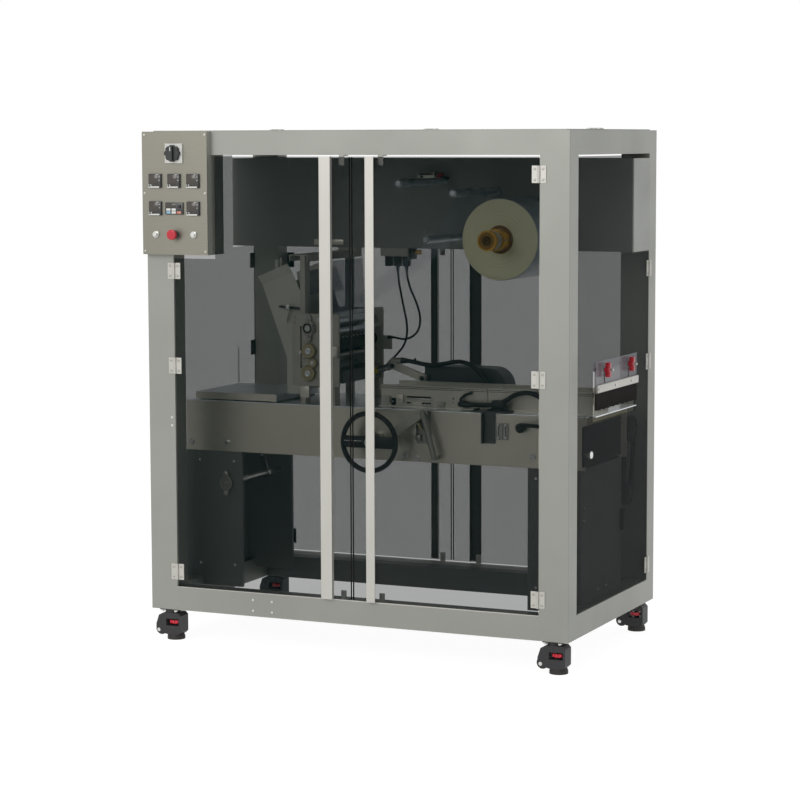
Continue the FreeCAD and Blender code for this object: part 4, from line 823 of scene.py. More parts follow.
@dataclass
class Cables:
    """Two hanging cables and two looms, with their boots, ties and sleeves."""

    thin: float = 8.0
    thick: float = 16.0
    routes: dict[str, list[tuple[float, float, float]]] = field(default_factory=lambda: {
        "cable_left": [(669, 672, 1305), (669, 672, 1270), (680, 668, 1215), (700, 656, 1150),
                       (720, 640, 1095), (730, 616, 1052), (732, 583, 1018), (720, 546.5, 991),
                       (702, 530, 964)],
        "cable_right": [(704, 672, 1305), (704, 672, 1272), (720, 669, 1222), (748, 663, 1172),
                        (768, 655, 1118), (766, 643, 1074), (746, 627, 1048), (718, 610, 1040),
                        (690, 603, 1048), (660, 603, 1048)],
        "arm_loom": [(752, 519, 972), (788, 519, 972), (834, 521, 961), (878, 523, 958),
                     (922, 525, 966), (966, 526, 976), (1004, 525, 972), (1038, 523, 956),
                     (1066, 520, 930), (1091, 518, 902), (1115, 516, 877), (1138, 516, 854)],
        "deck_loom": [(1100, 285, 850), (1138, 285, 850), (1182, 284.6, 850), (1222, 284, 855),
                      (1253, 283, 868), (1279, 282.5, 887), (1308, 282, 898), (1339, 282, 900),
                      (1369, 282, 892), (1396, 282, 876), (1417, 282, 855)],
    })
    lengths: dict[str, float] = field(default_factory=lambda: {
        "cable_left": 400.0, "cable_right": 373.0, "arm_loom": 435.0, "deck_loom": 341.0})
    tie_shares: dict[str, tuple[float, ...]] = field(default_factory=lambda: {
        "cable_left": (), "cable_right": (), "arm_loom": (0.09, 0.27, 0.78), "deck_loom": (0.3,)})

    def line(self, name: str, radius: float, finish: Finish) -> bpy.types.Object:
        """Draw one cable as a smooth NURBS line through its route's points.

        Args:
            name: Name of the route.
            radius: Radius of the cable, in millimetres.
            finish: What its jacket is made of.

        Returns:
            The curve object.
        """
        curve = bpy.data.curves.new(name + "_run", "CURVE")
        curve.dimensions = "3D"
        spline = curve.splines.new("NURBS")
        places = spot(self.routes[name])
        spline.points.add(len(places) - 1)
        spline.points.foreach_set("co", np.column_stack([places, np.ones(len(places))]).ravel())
        spline.order_u = 3
        spline.use_endpoint_u = True
        curve.resolution_u = 12
        curve.bevel_depth = radius / 1000.0
        curve.bevel_resolution = 5
        curve.use_fill_caps = True
        curve.materials.append(finish.build())
        return settle(show(name + "_run", curve), "frame", [name])

    def centres(self, piece: bpy.types.Object) -> np.ndarray:
        """Points along a cable's own line, in machine millimetres.

        Args:
            piece: The curve object.

        Returns:
            The points in order.
        """
        bare = piece.copy()
        bare.data = piece.data.copy()
        bare.data.bevel_depth = 0.0
        bpy.context.scene.collection.objects.link(bare)
        bpy.context.view_layer.update()
        mesh = bpy.data.meshes.new_from_object(bare.evaluated_get(bpy.context.evaluated_depsgraph_get()))
        points = np.array([v.co for v in mesh.vertices], float)
        bpy.data.objects.remove(bare)
        bpy.data.meshes.remove(mesh)
        return points * 1000.0 + ORIGIN

    def ties(self, name: str, points: np.ndarray, radius: float) -> list[Skin]:
        """Cable ties round a loom: a band with a square head, at shares of its length.

        Args:
            name: Name of the route.
            points: Points along the cable.
            radius: Radius of the cable.

        Returns:
            The bands and heads.
        """
        made = []
        for share in self.tie_shares[name]:
            index = int(share * (len(points) - 1))
            way = points[index + 1] - points[index - 1]
            way = way / np.linalg.norm(way)
            band = [(-3.0, radius * 0.9), (-2.5, radius + 1.2), (2.5, radius + 1.2), (3.0, radius * 0.9)]
            made.append(turned(band, points[index], way, BLACK_NYLON, 20))
            head = points[index] + across(way)[1] * (radius + 2.5)
            made.append(block(head - 3.5, head + 3.5, 1.0, BLACK_NYLON))
        return made

    def boot(self, start: Any, way: np.ndarray, radius: float) -> Skin:
        """Tapered strain relief with ribs, from a socket along its cable.

        Args:
            start: Where the socket ends, in millimetres.
            way: Direction of the cable.
            radius: Radius of the cable.

        Returns:
            The boot's skin.
        """
        profile = [(0.0, radius + 3.4), (4.0, radius + 3.4), (4.5, radius + 2.4), (7.0, radius + 2.2),
                   (7.5, radius + 2.8), (10.0, radius + 2.6), (10.5, radius + 1.8), (13.0, radius + 1.6),
                   (13.5, radius + 2.1), (16.0, radius + 1.9), (16.5, radius + 1.2), (22.0, radius + 0.5)]
        return turned(profile, start, way, BLACK_NYLON, 24)

    def build(self) -> None:
        for name, points in self.routes.items():
            radius = (self.thin if name.startswith("cable") else self.thick) / 2
            run = self.line(name, radius, CABLE_JACKET if name.startswith("cable") else LOOM_BRAID)
            path = self.centres(run)
            parts = self.ties(name, path, radius)
            for end, after in ((0, 1), (-1, -2)):
                way = np.subtract(points[after], points[end]).astype(float)
                parts.append(self.boot(points[end], way / np.linalg.norm(way), radius))
            fittings = make_piece(name + "_fittings", parts, "frame")


@dataclass
class WeldedFrame:
    """Frame, cabinet and roof, with the rows of screws that show on them."""

    front_screws: tuple[tuple[float, float], ...] = (
        (409, 156), (484, 155), (409, 118), (484, 117), (92, 790), (92, 761))
    cabinet_face: float = 640.0
    cabinet_bolts: tuple[tuple[float, float], ...] = ((200, 1428), (793, 1434))
    roof_hinges: tuple[float, ...] = (165.0, 796.0, 1428.0)
    leaf_middle: float = 689.0
    leaf_top: float = 1804.0

    def build(self) -> None:
        """Dress the frame's nodes and drive its screws."""
        for node in ("frame_posts", "frame_beams", "roof_panel"):
            dress(node, FRAME_COAT)
        skin_over("control_box", FRAME_COAT)
        dress("base_rail", RAIL_COAT)
        back = Patch((-1, 806.5, 1300), (1593, 886, 1800), FRAME_COAT)
        skin_over("upper_cabinet", CABINET_COAT, 0.8, [back])
        roof = [(x + dx, self.leaf_middle + dy, self.leaf_top)
                for x in self.roof_hinges for dx in (-18, 18) for dy in (-12, 12)]
        make_piece("frame_screws", [
            copies(screw(4.5, 2.2), at_depth(0.0, self.front_screws), FRONT),
            copies(hex_bolt(6.5, 5.5, DULL_STEEL), at_depth(self.cabinet_face, self.cabinet_bolts), FRONT),
            copies(screw(4.0, 1.8), roof, UP),
            block((343, self.cabinet_face - 4, 1380), (464, self.cabinet_face + 0.4, 1401), 0.8, RAIL_ALUMINIUM),
            # A bright zinc strip along the lower front beam's top edge is a painted highlight on that edge.
            block((106, 0.2, 180), (1486, 4, 183.4), 0.8, CAST_ZINC)])


@dataclass
class ControlPanel:
    """Brushed face plate with its switch, temperature dials, keypad and push buttons."""

    face: float = -28.0
    middle: float = 129.5
    pitch: float = 75.5
    rows: tuple[float, float] = (1626.0, 1530.0)
    dial: float = 49.0
    proud: float = 8.0
    switch_z: float = 1722.0
    button_z: float = 1439.0
    plate_screws: tuple[tuple[float, float], ...] = (
        (9, 1786), (250, 1786), (9, 1583), (250, 1583), (9, 1380), (250, 1380))

    def one_dial(self, x: float, z: float) -> list[Skin]:
        """Face of a temperature dial: window, lamp marks, keys and the pale foot of its bezel.

        Args:
            x: Centre across the panel.
            z: Centre up the panel.

        Returns:
            The dial's skins.
        """
        front, half = self.face - self.proud, self.dial / 2
        left, right, low, high = x - half, x + half, z - half, z + half
        skins = [block((left, front - 0.8, low), (right, front + 3, high), 1.6, DIAL_PLASTIC),
                 block((left + 3, front - 1.5, z - 9), (x + 13, front + 1, high - 4), 0.8, DIAL_WINDOW),
                 block((left + 0.5, front - 1.4, low + 0.5), (right - 6, front + 1, low + 5.5), 0.6, PALE_PLASTIC),
                 block((left + 0.5, front - 1.4, low + 4), (left + 12, front + 1, low + 12), 0.6, PALE_PLASTIC)]
        for number, (dx, dz) in enumerate(((-18.5, -16.5), (-7, -14), (3, -14), (13, -14))):
            radius, finish = (3.2, DIAL_WINDOW) if number else (3.8, DIAL_PLASTIC)
            skins.append(rod(3.0, radius, 0.8, (x + dx, front + 0.2, z + dz), FRONT, finish, 16))
        for lx, lz in ((x + 18.5, z + 14), (x + 18.5, z + 2), (x + 8, high - 2.6), (x + 13, high - 2.6)):
            skins.append(block((lx - 2.2, front - 1.3, lz - 0.9), (lx + 2.2, front, lz + 0.9), 0.3, PALE_PLASTIC))
        return skins

    def keypad(self) -> list[Skin]:
        """Counter with a window, a rotary knob and five keys in three colours.

        Returns:
            The counter's skins.
        """
        x, z, front = self.middle, self.rows[1], self.face - 5.0
        skins = [block((x - 35.5, front - 0.8, z - 21), (x + 35.5, front + 2, z + 21), 1.5, DIAL_PLASTIC),
                 block((x - 31, front - 1.4, z + 4), (x + 6, front, z + 17), 0.8, DIAL_WINDOW),
                 rod(7.0, 6.0, 1.4, (x + 22, front, z + 8), FRONT, BLACK_NYLON, 24)]
        keys = {(-22, -4): PALE_PLASTIC, (-1, -4): PALE_PLASTIC, (-22, -14): SKY_PLASTIC,
                (-1, -14): PALE_PLASTIC, (20, -14): CORAL_PLASTIC}
        for (dx, dz), finish in keys.items():
            skins.append(block((x + dx - 8.5, front - 2.2, z + dz - 4.2), (x + dx + 8.5, front, z + dz + 4.2),
                               1.2, finish))
        return skins

    def patch(self, left: float, right: float, z: float, reach: float, finish: Finish) -> Patch:
        """Patch over what stands on the plate between two sides, as far up and down as it reaches."""
        return Patch((left, -60, z - reach), (right, 0, z + reach), finish)

    def build(self) -> None:
        """Dress the panel, then lay the faces of its instruments over their solids."""
        dress("control_panel", BRUSHED_PANEL)
        middle, switch, button = self.middle, self.switch_z, self.button_z
        skin_over("instruments", DIAL_PLASTIC, 0.8, [
            self.patch(middle - 35, middle + 35, switch, 35, PALE_PLASTIC),
            self.patch(0, middle - 30, button, 20, PLATED_STEEL),
            self.patch(middle + 30, 259, button, 20, PLATED_STEEL),
            self.patch(middle - 20, middle + 20, button, 20, DIAL_PLASTIC)])
        skins = []
        for row, columns in zip(self.rows, ((-1, 0, 1), (-1, 1))):
            for column in columns:
                skins += self.one_dial(middle + column * self.pitch, row)
        make_piece("dial_faces", skins + self.keypad())
        corners = [(middle + dx, switch + dz) for dx in (-29, 29) for dz in (-29, 29)]
        caps = [rod(4.0, 8.0, 1.6, (middle + side * self.pitch, self.face - 10.0, button), FRONT,
                    PALE_PLASTIC, 28) for side in (-1, 1)]
        make_piece("panel_fittings", [
            copies(screw(4.2, 2.4, CAST_ZINC), at_depth(self.face, self.plate_screws), FRONT),
            copies(screw(2.6, 1.2, CAST_ZINC), at_depth(self.face - 6.0, corners), FRONT)] + caps)
        skin_over("main_switch_knob", BLACK_NYLON, 1.2)
        index = block((middle - 1.6, self.face - 30.8, switch + 8), (middle + 1.6, self.face - 29.5, switch + 22),
                      0.5, PALE_PLASTIC)
        make_piece("switch_index", [index], "main_switch")
        skin_over("emergency_stop", RED_PLASTIC, 0.0)


@dataclass
class Doors:
    """Clear doors on cast hinges, with grips along their meeting edges."""

    leaf_reach: float = 15.0
    screw_rise: float = 18.0
    seat: float = 2.0
    way_in: tuple[float, float, float, float] = (228.1, 671.9, 812.2, 984.9)
    hinge_rows: dict[str, tuple[tuple[float, float], tuple[float, ...], Any, Any]] = field(
        default_factory=lambda: {
            "front_left_door": ((108.5, -4.5), (237, 975, 1310), LEFT, FRONT),
            "front_right_door": ((1483.5, -4.5), (237, 975, 1653), RIGHT, FRONT),
            "rear_left_door": ((108.5, 889.5), (237, 760, 1309), LEFT, BACK),
            "rear_right_door": ((1483.5, 889.5), (237, 760, 1309), RIGHT, BACK),
            "left_side_door": ((-4.5, 804.5), (237, 975, 1309), BACK, LEFT),
            "right_side_door": ((1596.5, 804.5), (237, 975, 1309), BACK, RIGHT)})

    def rear_grip_shade(self, door: str) -> list[Patch]:
        """Painted shade on the inner faces of the rear grips, which show through the sheets.

        Args:
            door: Name of the door.

        Returns:
            One patch for a rear door, and none for the others.
        """
        if not door.startswith("rear"):
            return []
        low, high = reach_of(door + "_fittings")
        # The grips are the same aluminium as the front ones; the black on their inner faces is painted shade.
        return [Patch(tuple(low - 1), (high[0] + 1, low[1] + 1.5, high[2] + 1), BLACK_ENAMEL_AND_PAINTED_SHADE)]

    def flap(self) -> Skin:
        """Soft clear flap that hangs over the way in, in the plane of the left side's sheet."""
        y0, y1, low, high = self.way_in
        return block((2.5, y0, low), (5.5, y1, high), 0.2, SOFT_SHEET)

    def seam_strip(self, door: str) -> Skin:
        """Thin dark strip along a door's meeting edge, over the pane's whole height, which darkens the seam.

        Args:
            door: Name of the door.

        Returns:
            The strip's skin.
        """
        low, high = reach_of(door + "_pane")
        meeting, inner = (high[0], high[0] - 2.5) if "left" in door else (low[0], low[0] + 2.5)
        return block((inner, low[1] + 0.3, low[2] + 2), (meeting, high[1] + 0.4, high[2] - 2), 0.4, BLACK_ENAMEL_AND_PAINTED_SHADE)

    def build(self) -> None:
        """Dress panes and fittings, and drive two screws through each hinge leaf."""
        skin_over("door_hardware", CAST_ZINC, 0.5)
        head = screw(4.6, 1.9, DULL_STEEL)
        fixed, outwards = [], []
        for door, ((x, y), heights, way, out) in self.hinge_rows.items():
            sideways = "side" in door
            # The outlet end's side door takes the darker copy of the sheet: painted shade.
            dress(door + "_pane", DARKER_SIDE_SHEET if door == "right_side_door" else CLEAR_SHEET)
            skin_over(door + "_fittings", CAST_ZINC if sideways else ANODISED, 0.5, self.rear_grip_shade(door))
            seats = np.array([(x, y, z + side * self.screw_rise) for z in heights for side in (-1, 1)])
            seats -= out * self.seat
            fixed.append(seats + way * self.leaf_reach)
            outwards.append(np.broadcast_to(out, seats.shape))
            make_piece(door + "_screws", [copies(head, seats - way * self.leaf_reach, out)], door)
            if not sideways:
                make_piece(door + "_seam_strip", [self.seam_strip(door)], door)
        make_piece("hinge_screws", [copies(head, np.vstack(fixed), np.vstack(outwards))])
        make_piece("infeed_flap", [self.flap()], "left_side_door")


@dataclass
class FilmReel:
    """Roll of film on its brass nosed spindle."""

    centre: tuple[float, float] = (1215.0, 1423.0)
    front: float = 320.0
    back: float = 620.0
    radius: float = 142.0
    core: float = 49.0
    bore: float = 38.5
    nose: float = 200.0

    def roll(self) -> None:
        """Wind the film on its card core: three skins over one closed profile, then welded."""
        width = self.back - self.front
        profile = [(0.0, self.bore), (0.0, self.core), (0.6, self.core + 0.4)]
        profile += [(0.6, r) for r in np.linspace(self.core + 6, self.radius - 4, 9)]
        rim = [(1.2, self.radius - 2), (3.0, self.radius - 0.6), (6.0, self.radius)]
        profile += rim + [(width - 6.0, self.radius), (width - 3.0, self.radius - 0.6),
                          (width - 0.6, self.radius - 2), (width, self.core), (width, self.bore)]
        rings = rings_about(profile, (self.centre[0], self.front, self.centre[1]), BACK, 96)
        quads = ring_loop(*rings.shape[:2])
        last = len(rings) - 1
        rows = {FILM_END: [*range(2, 12), last - 2], WOUND_FILM: [*range(12, last - 2)],
                CARD_CORE: [0, 1, last - 1, last]}
        skins = [Skin(rings.reshape(-1, 3), [tuple(q) for q in quads[which].reshape(-1, 4).tolist()], finish)
                 for finish, which in rows.items()]
        mesh = make_piece("wound_roll", skins, "film_reel", ["film_roll"]).data
        work = bmesh.new()
        work.from_mesh(mesh)
        bmesh.ops.remove_doubles(work, verts=work.verts, dist=1e-6)
        work.to_mesh(mesh)
        work.free()
        smooth_by_angle(mesh)

    def spindle(self) -> None:
        """Turn the brass nose with its grooves, the nut with its rings, the cage and its keys."""
        x, z = self.centre
        start = (x, self.nose, z)
        stop = self.back - self.nose
        brass = [(0.0, 20.0), (0.0, 33.0), (1.5, 35.0), (20.0, 35.0), (24.0, 33.5), (25.0, 30.0)]
        nut = [(25.0, 31.0), (27.0, 33.5), (62.0, 33.5), (64.0, 30.0)]
        cage = [(64.0, 37.0), (66.0, 38.0), (stop, 38.0), (stop, 60.0), (stop + 6.0, 60.0), (stop + 6.0, 38.0),
                (430.0, 38.0)]
        skins = [turned(profile, start, BACK, finish, 48)
                 for profile, finish in ((brass, HUB_BRASS), (nut, ROLLER_TUBE), (cage, HUB_BRASS))]
        for outer in (30.0, 20.0, 10.0):
            groove = [(0.0, outer), (0.8, outer), (0.8, outer - 4), (0.4, outer - 4)]
            skins.append(turned(groove, (x, self.nose + 0.2, z), FRONT, DARK_BRASS, 36))
        for at in (27.5, 44.0, 60.0):
            band = [(0.0, 33.0), (0.2, 34.1), (2.4, 34.1), (2.6, 33.0)]
            skins.append(turned(band, (x, self.nose + at, z), BACK, DARK_BRASS, 48))
        for angle in np.arange(6) * math.pi / 3:
            key = np.array([x + 36.5 * math.cos(angle), self.nose + 90.0, z + 36.5 * math.sin(angle)])
            skins.append(block(key - (2.5, 22, 2.5), key + (2.5, 22, 2.5), 1.0, DULL_STEEL))
        make_piece("reel_spindle", skins, "film_reel", ["film_spindle"])

    def build(self) -> None:
        """Wind the roll and turn its spindle."""
        self.roll()
        self.spindle()


@dataclass
class FilmPath:
    """Guide rollers, the toggle clamp on the cabinet, and the bearings behind them."""

    axes: tuple[tuple[float, float], ...] = ((1075.0, 1583.0), (869.0, 1617.0), (972.0, 1422.0))
    front: float = 232.0
    back: float = 637.0
    radius: float = 14.0
    mouth: float = 12.6
    cabinet_face: float = 640.0
    clamp_axis: float = 1628.0

    def rollers(self) -> None:
        """Turn each roller's tube, the dark ring in its end and the end of its stud."""
        length = self.back - self.front
        tube = [(0.0, 6.0), (0.0, self.mouth), (1.0, self.radius), (length - 1.0, self.radius),
                (length, self.mouth)]
        ring = [(0.0, 12.0), (0.6, 12.0), (0.6, 9.5), (0.1, 9.0)]
        stud = [(0.0, 5.4), (1.0, 5.4), (1.0, 3.4), (0.2, 3.0)]
        for number, (x, z) in enumerate(self.axes, 1):
            node = "guide_roller_%d" % number
            skins = [turned(tube, (x, self.front, z), BACK, ROLLER_TUBE, 40),
                     turned(ring, (x, self.front + 0.2, z), FRONT, DARK_ROLLER, 32),
                     turned(stud, (x, self.front, z), FRONT, PLATED_STEEL, 20)]
            make_piece("roller_tube_%d" % number, skins, node, [node])

    def build(self) -> None:
        """Turn the rollers and set the clamp, with its red ring and black tip, on the cabinet."""
        self.rollers()
        skin_over("bearings", DULL_STEEL, 0.8)
        y, z = self.cabinet_face, self.clamp_axis
        make_piece("tension_clamp", [
            block((772, y - 26, 1612), (842, y, 1650), 3.0, RAIL_ALUMINIUM),
            block((780, y - 30, 1640), (834, y - 25, 1646), 1.0, BLACK_ENAMEL_AND_PAINTED_SHADE),
            block((786, y - 27.5, 1630), (796, y - 25, 1638), 1.0, BLACK_ENAMEL_AND_PAINTED_SHADE),
            block((742, y - 40, 1616), (800, y - 26, 1628), 3.0, RAIL_ALUMINIUM),
            # The clamp's ring takes the lighter red, which is painted light.
            rod(14.0, 21.0, 2.0, (855, y - 20, z), RIGHT, LIGHTER_SIGNAL_RED, 32),
            rod(24.0, 9.0, 2.0, (842, y - 20, z), RIGHT, DULL_STEEL, 20),
            rod(28.0, 6.0, 1.5, (866, y - 20, z), RIGHT, BLACK_NYLON, 16)])


@dataclass
class FilmHead:
    """Plates, rollers, gear train and chute that pull the film down and seal it."""

    front: float = 228.0
    rear: float = 598.0
    gears: tuple[tuple[float, float, float, int], ...] = (
        (526.0, 1023.0, 28.0, 24), (542.0, 981.0, 17.0, 15), (524.0, 943.0, 28.0, 24))
    plate_screws: tuple[tuple[float, float], ...] = (
        (500, 999), (500, 979), (466, 1143), (466, 1120), (466, 944), (478, 905), (628, 1140), (628, 910))

    def gear_train(self) -> list[Skin]:
        """Brass gears with bright hubs over the plain discs of the solids.

        Returns:
            Gears, recesses, hubs and axle ends.
        """
        skins = []
        for x, z, radius, teeth in self.gears:
            start = (x, self.front - 3.6, z)
            skins.append(prism(gear_outline(radius, teeth, 4.0), start, FRONT, 11.5, 0.8, GEAR_BRASS))
            recess = [(11.0, radius * 0.72), (12.0, radius * 0.72), (12.0, radius * 0.42)]
            hub = [(11.0, radius * 0.4), (14.0, radius * 0.38), (14.6, radius * 0.3), (13.6, radius * 0.2)]
            skins.append(turned(recess, start, FRONT, GEAR_BRASS, 28))
            skins.append(turned(hub, start, FRONT, ROLLER_TUBE, 28))
            skins.append(turned([(13.0, radius * 0.17), (15.4, radius * 0.13)], start, FRONT, PLATED_STEEL, 16))
        return skins

    def handle(self) -> list[Skin]:
        """T handle on the chute's side: a black bar across a bright hub, and its stem.

        Returns:
            Bar, stem and hub.
        """
        y = 262.0
        bar = swept(np.array([(389.0 + t * 95.0, y, 1175.0 - 6.0 * t) for t in np.linspace(0, 1, 6)]),
                    4.0, BLACK_NYLON)
        stem = swept(np.array([(428, y, 1175), (425, y + 1, 1160), (420, y + 2, 1140), (415, y + 3, 1120)]),
                     3.5, PLATED_STEEL)
        hub = rod(34.0, 8.0, 2.0, (428, 280, 1175), FRONT, PLATED_STEEL, 24)
        return [bar, stem, hub]

    def outer_rollers(self) -> list[Skin]:
        """Two bright rods and a black perforating roller between the plates' outlet edges.

        Returns:
            Rods, roller and collar.
        """
        length = self.rear - self.front - 10.0
        skins = []
        for x, z, radius, finish in ((604.0, 1128.0, 13.0, ROLLER_TUBE), (618.0, 1094.0, 9.0, ROLLER_TUBE),
                                     (592.0, 1044.0, 27.0, BLACK_ENAMEL_AND_PAINTED_SHADE), (612.0, 1006.0, 7.0, DULL_STEEL)):
            skins.append(rod(length, radius, 2.0, (x, self.front + 10.0, z), BACK, finish, 36))
        collar = rod(26.0, 19.0, 2.0, (618, 470, 1094), BACK, ROLLER_TUBE, 32)
        return skins + [collar]

    def roller_screws(self) -> Skin:
        """Row of bright grub screws along the perforating roller, up and towards the outlet.

        Returns:
            The screws as one skin.
        """
        way = np.array([math.cos(1.0), 0.0, math.sin(1.0)])
        places = [np.array([592.0, y, 1044.0]) + way * 26.0 for y in np.arange(270.0, 596.0, 30.0)]
        return copies(screw(5.6, 3.6, RAIL_ALUMINIUM), places, way)

    def web(self, start: tuple[float, float], end: tuple[float, float], finish: Finish = FILM_WEB) -> Skin:
        """Flat web of film between two points (X, Z), as wide as the roll and 0.3 mm thick.

        Args:
            start: Where it leaves one roller.
            end: Where it meets the next.
            finish: What it looks like.

        Returns:
            The web's skin.
        """
        way = np.array([end[0] - start[0], 0.0, end[1] - start[1]])
        side = np.array([-way[2], 0.0, way[0]]) / np.linalg.norm(way) * 0.15
        corners = np.array([np.array([0, 325.0, 0]) - side, np.array([0, 325.0, 0]) + side,
                            np.array([0, 615.0, 0]) + side, np.array([0, 615.0, 0]) - side])
        share = np.linspace(0.0, 1.0, 9)[:, None, None]
        rings = np.array([start[0], 0.0, start[1]]) + share * way + corners[None]
        return closed_stack(rings, finish)

    def webs(self) -> list[Skin]:
        """Film's way from the third guide roller up to the first, and down to the head and the chute.

        Returns:
            The four webs.
        """
        return [self.web((958.5, 1422.0), (1060.5, 1583.0)), self.web((957.0, 1420.0), (560.0, 1153.0)),
                self.web((552.0, 1336.0), (562.0, 1154.0), BLUE_WEB),
                self.web((446.0, 1300.0), (478.0, 1215.0), BLUE_WEB)]

    def build(self) -> None:
        """Dress the head's nodes and add its gears, screws, blocks and handle."""
        skin_over("head_frame", HEAD_COAT, 0.8)
        skin_over("chute", CHUTE_COAT, 0.5)
        patches = [Patch((480, 280, 985), (565, 600, 1062), DARK_ROLLER),
                   Patch((555, 270, 900), (640, 600, 960), RAIL_COAT),
                   Patch((480, 200, 900), (570, 229, 1062), GEAR_BRASS)]
        skin_over("head_rollers", ROLLER_TUBE, 0.6, patches)
        faces = copies(screw(4.6, 2.6, CAST_ZINC), [(x, self.front, z) for x, z in self.plate_screws], FRONT)
        beige = block((606, self.front - 14, 1002), (638, self.front, 1041), 2.0, RAIL_ALUMINIUM)
        bolts = copies(screw(4.5, 3.5), [(630, self.front - 14, 1034), (630, self.front - 14, 1009)], FRONT)
        lower = block((482, 236, 855), (518, 240, 897), 1.0, RAIL_ALUMINIUM)
        ring = turned([(0.0, 22.0), (6.0, 22.0), (8.0, 20.5), (8.0, 18.0), (5.0, 17.5)],
                      (526, self.front - 12.0, 1104), FRONT, DULL_STEEL, 36)
        race = turned([(4.0, 17.4), (7.0, 17.4), (7.0, 11.5), (6.0, 11.0)], (526, self.front - 12.0, 1104), FRONT,
                      BLACK_ENAMEL_AND_PAINTED_SHADE, 36)
        knob = rod(12.0, 7.0, 1.5, (492, self.front - 1.0, 1017), FRONT, PLATED_STEEL, 20)
        disc = rod(9.0, 11.0, 1.5, (526, self.front - 12.0, 1104), FRONT, CHUTE_COAT, 32)
        lug_places = at_depth(self.front - 12, [(526, 1104 + side * 31) for side in (-1, 1)])
        lugs = copies(hex_bolt(5.0, 6.0, DULL_STEEL), lug_places, FRONT)
        make_piece("head_fittings", [faces, beige, bolts, lower, ring, race, disc, knob, lugs, self.roller_screws()]
                   + self.handle() + self.outer_rollers())
        make_piece("gear_train", self.gear_train())
        make_piece("film_web", self.webs(), "frame")
        tab = block((352, 300, 1283), (366, 304, 1340), 1.0, CHUTE_COAT)
        peg = rod(40.0, 5.0, 1.5, (384, 290, 1308), UP, DULL_STEEL, 16)
        make_piece("chute_fittings", [tab, peg], "frame")


@dataclass
class JunctionBox:
    """Box under the cabinet with three moulded plugs, a gland and a clip."""

    plugs: tuple[float, ...] = (634.0, 669.0, 704.0)
    bottom: float = 1342.0
    middle: float = 672.0

    def build(self) -> None:
        """Skin the box, ring the plugs, and add the gland's nut and the clip."""
        patches = [Patch((610, 640, 1290), (722.1, 705, 1341.5), BLACK_NYLON),
                   Patch((722.5, 640, 1340), (770, 705, 1372), HUB_BRASS)]
        skin_over("junction_box", HEAD_COAT, 1.0, patches)
        skins = []
        for x in self.plugs:
            for drop in (6.0, 14.0, 22.0):
                z = self.bottom - drop
                skins.append(block((x - 13.4, self.middle - 13.4, z - 2), (x + 13.4, self.middle + 13.4, z + 2),
                                   1.6, BLACK_NYLON))
        skins.append(block((724, 655, 1332), (739, 690, 1371), 2.0, BLACK_NYLON))
        nut = [(0.0, 10.5), (9.0, 10.5), (10.0, 9.5)]
        skins.append(turned(nut, (739, self.middle, 1357), RIGHT, HUB_BRASS, 6))
        make_piece("plug_fittings", skins, "frame")


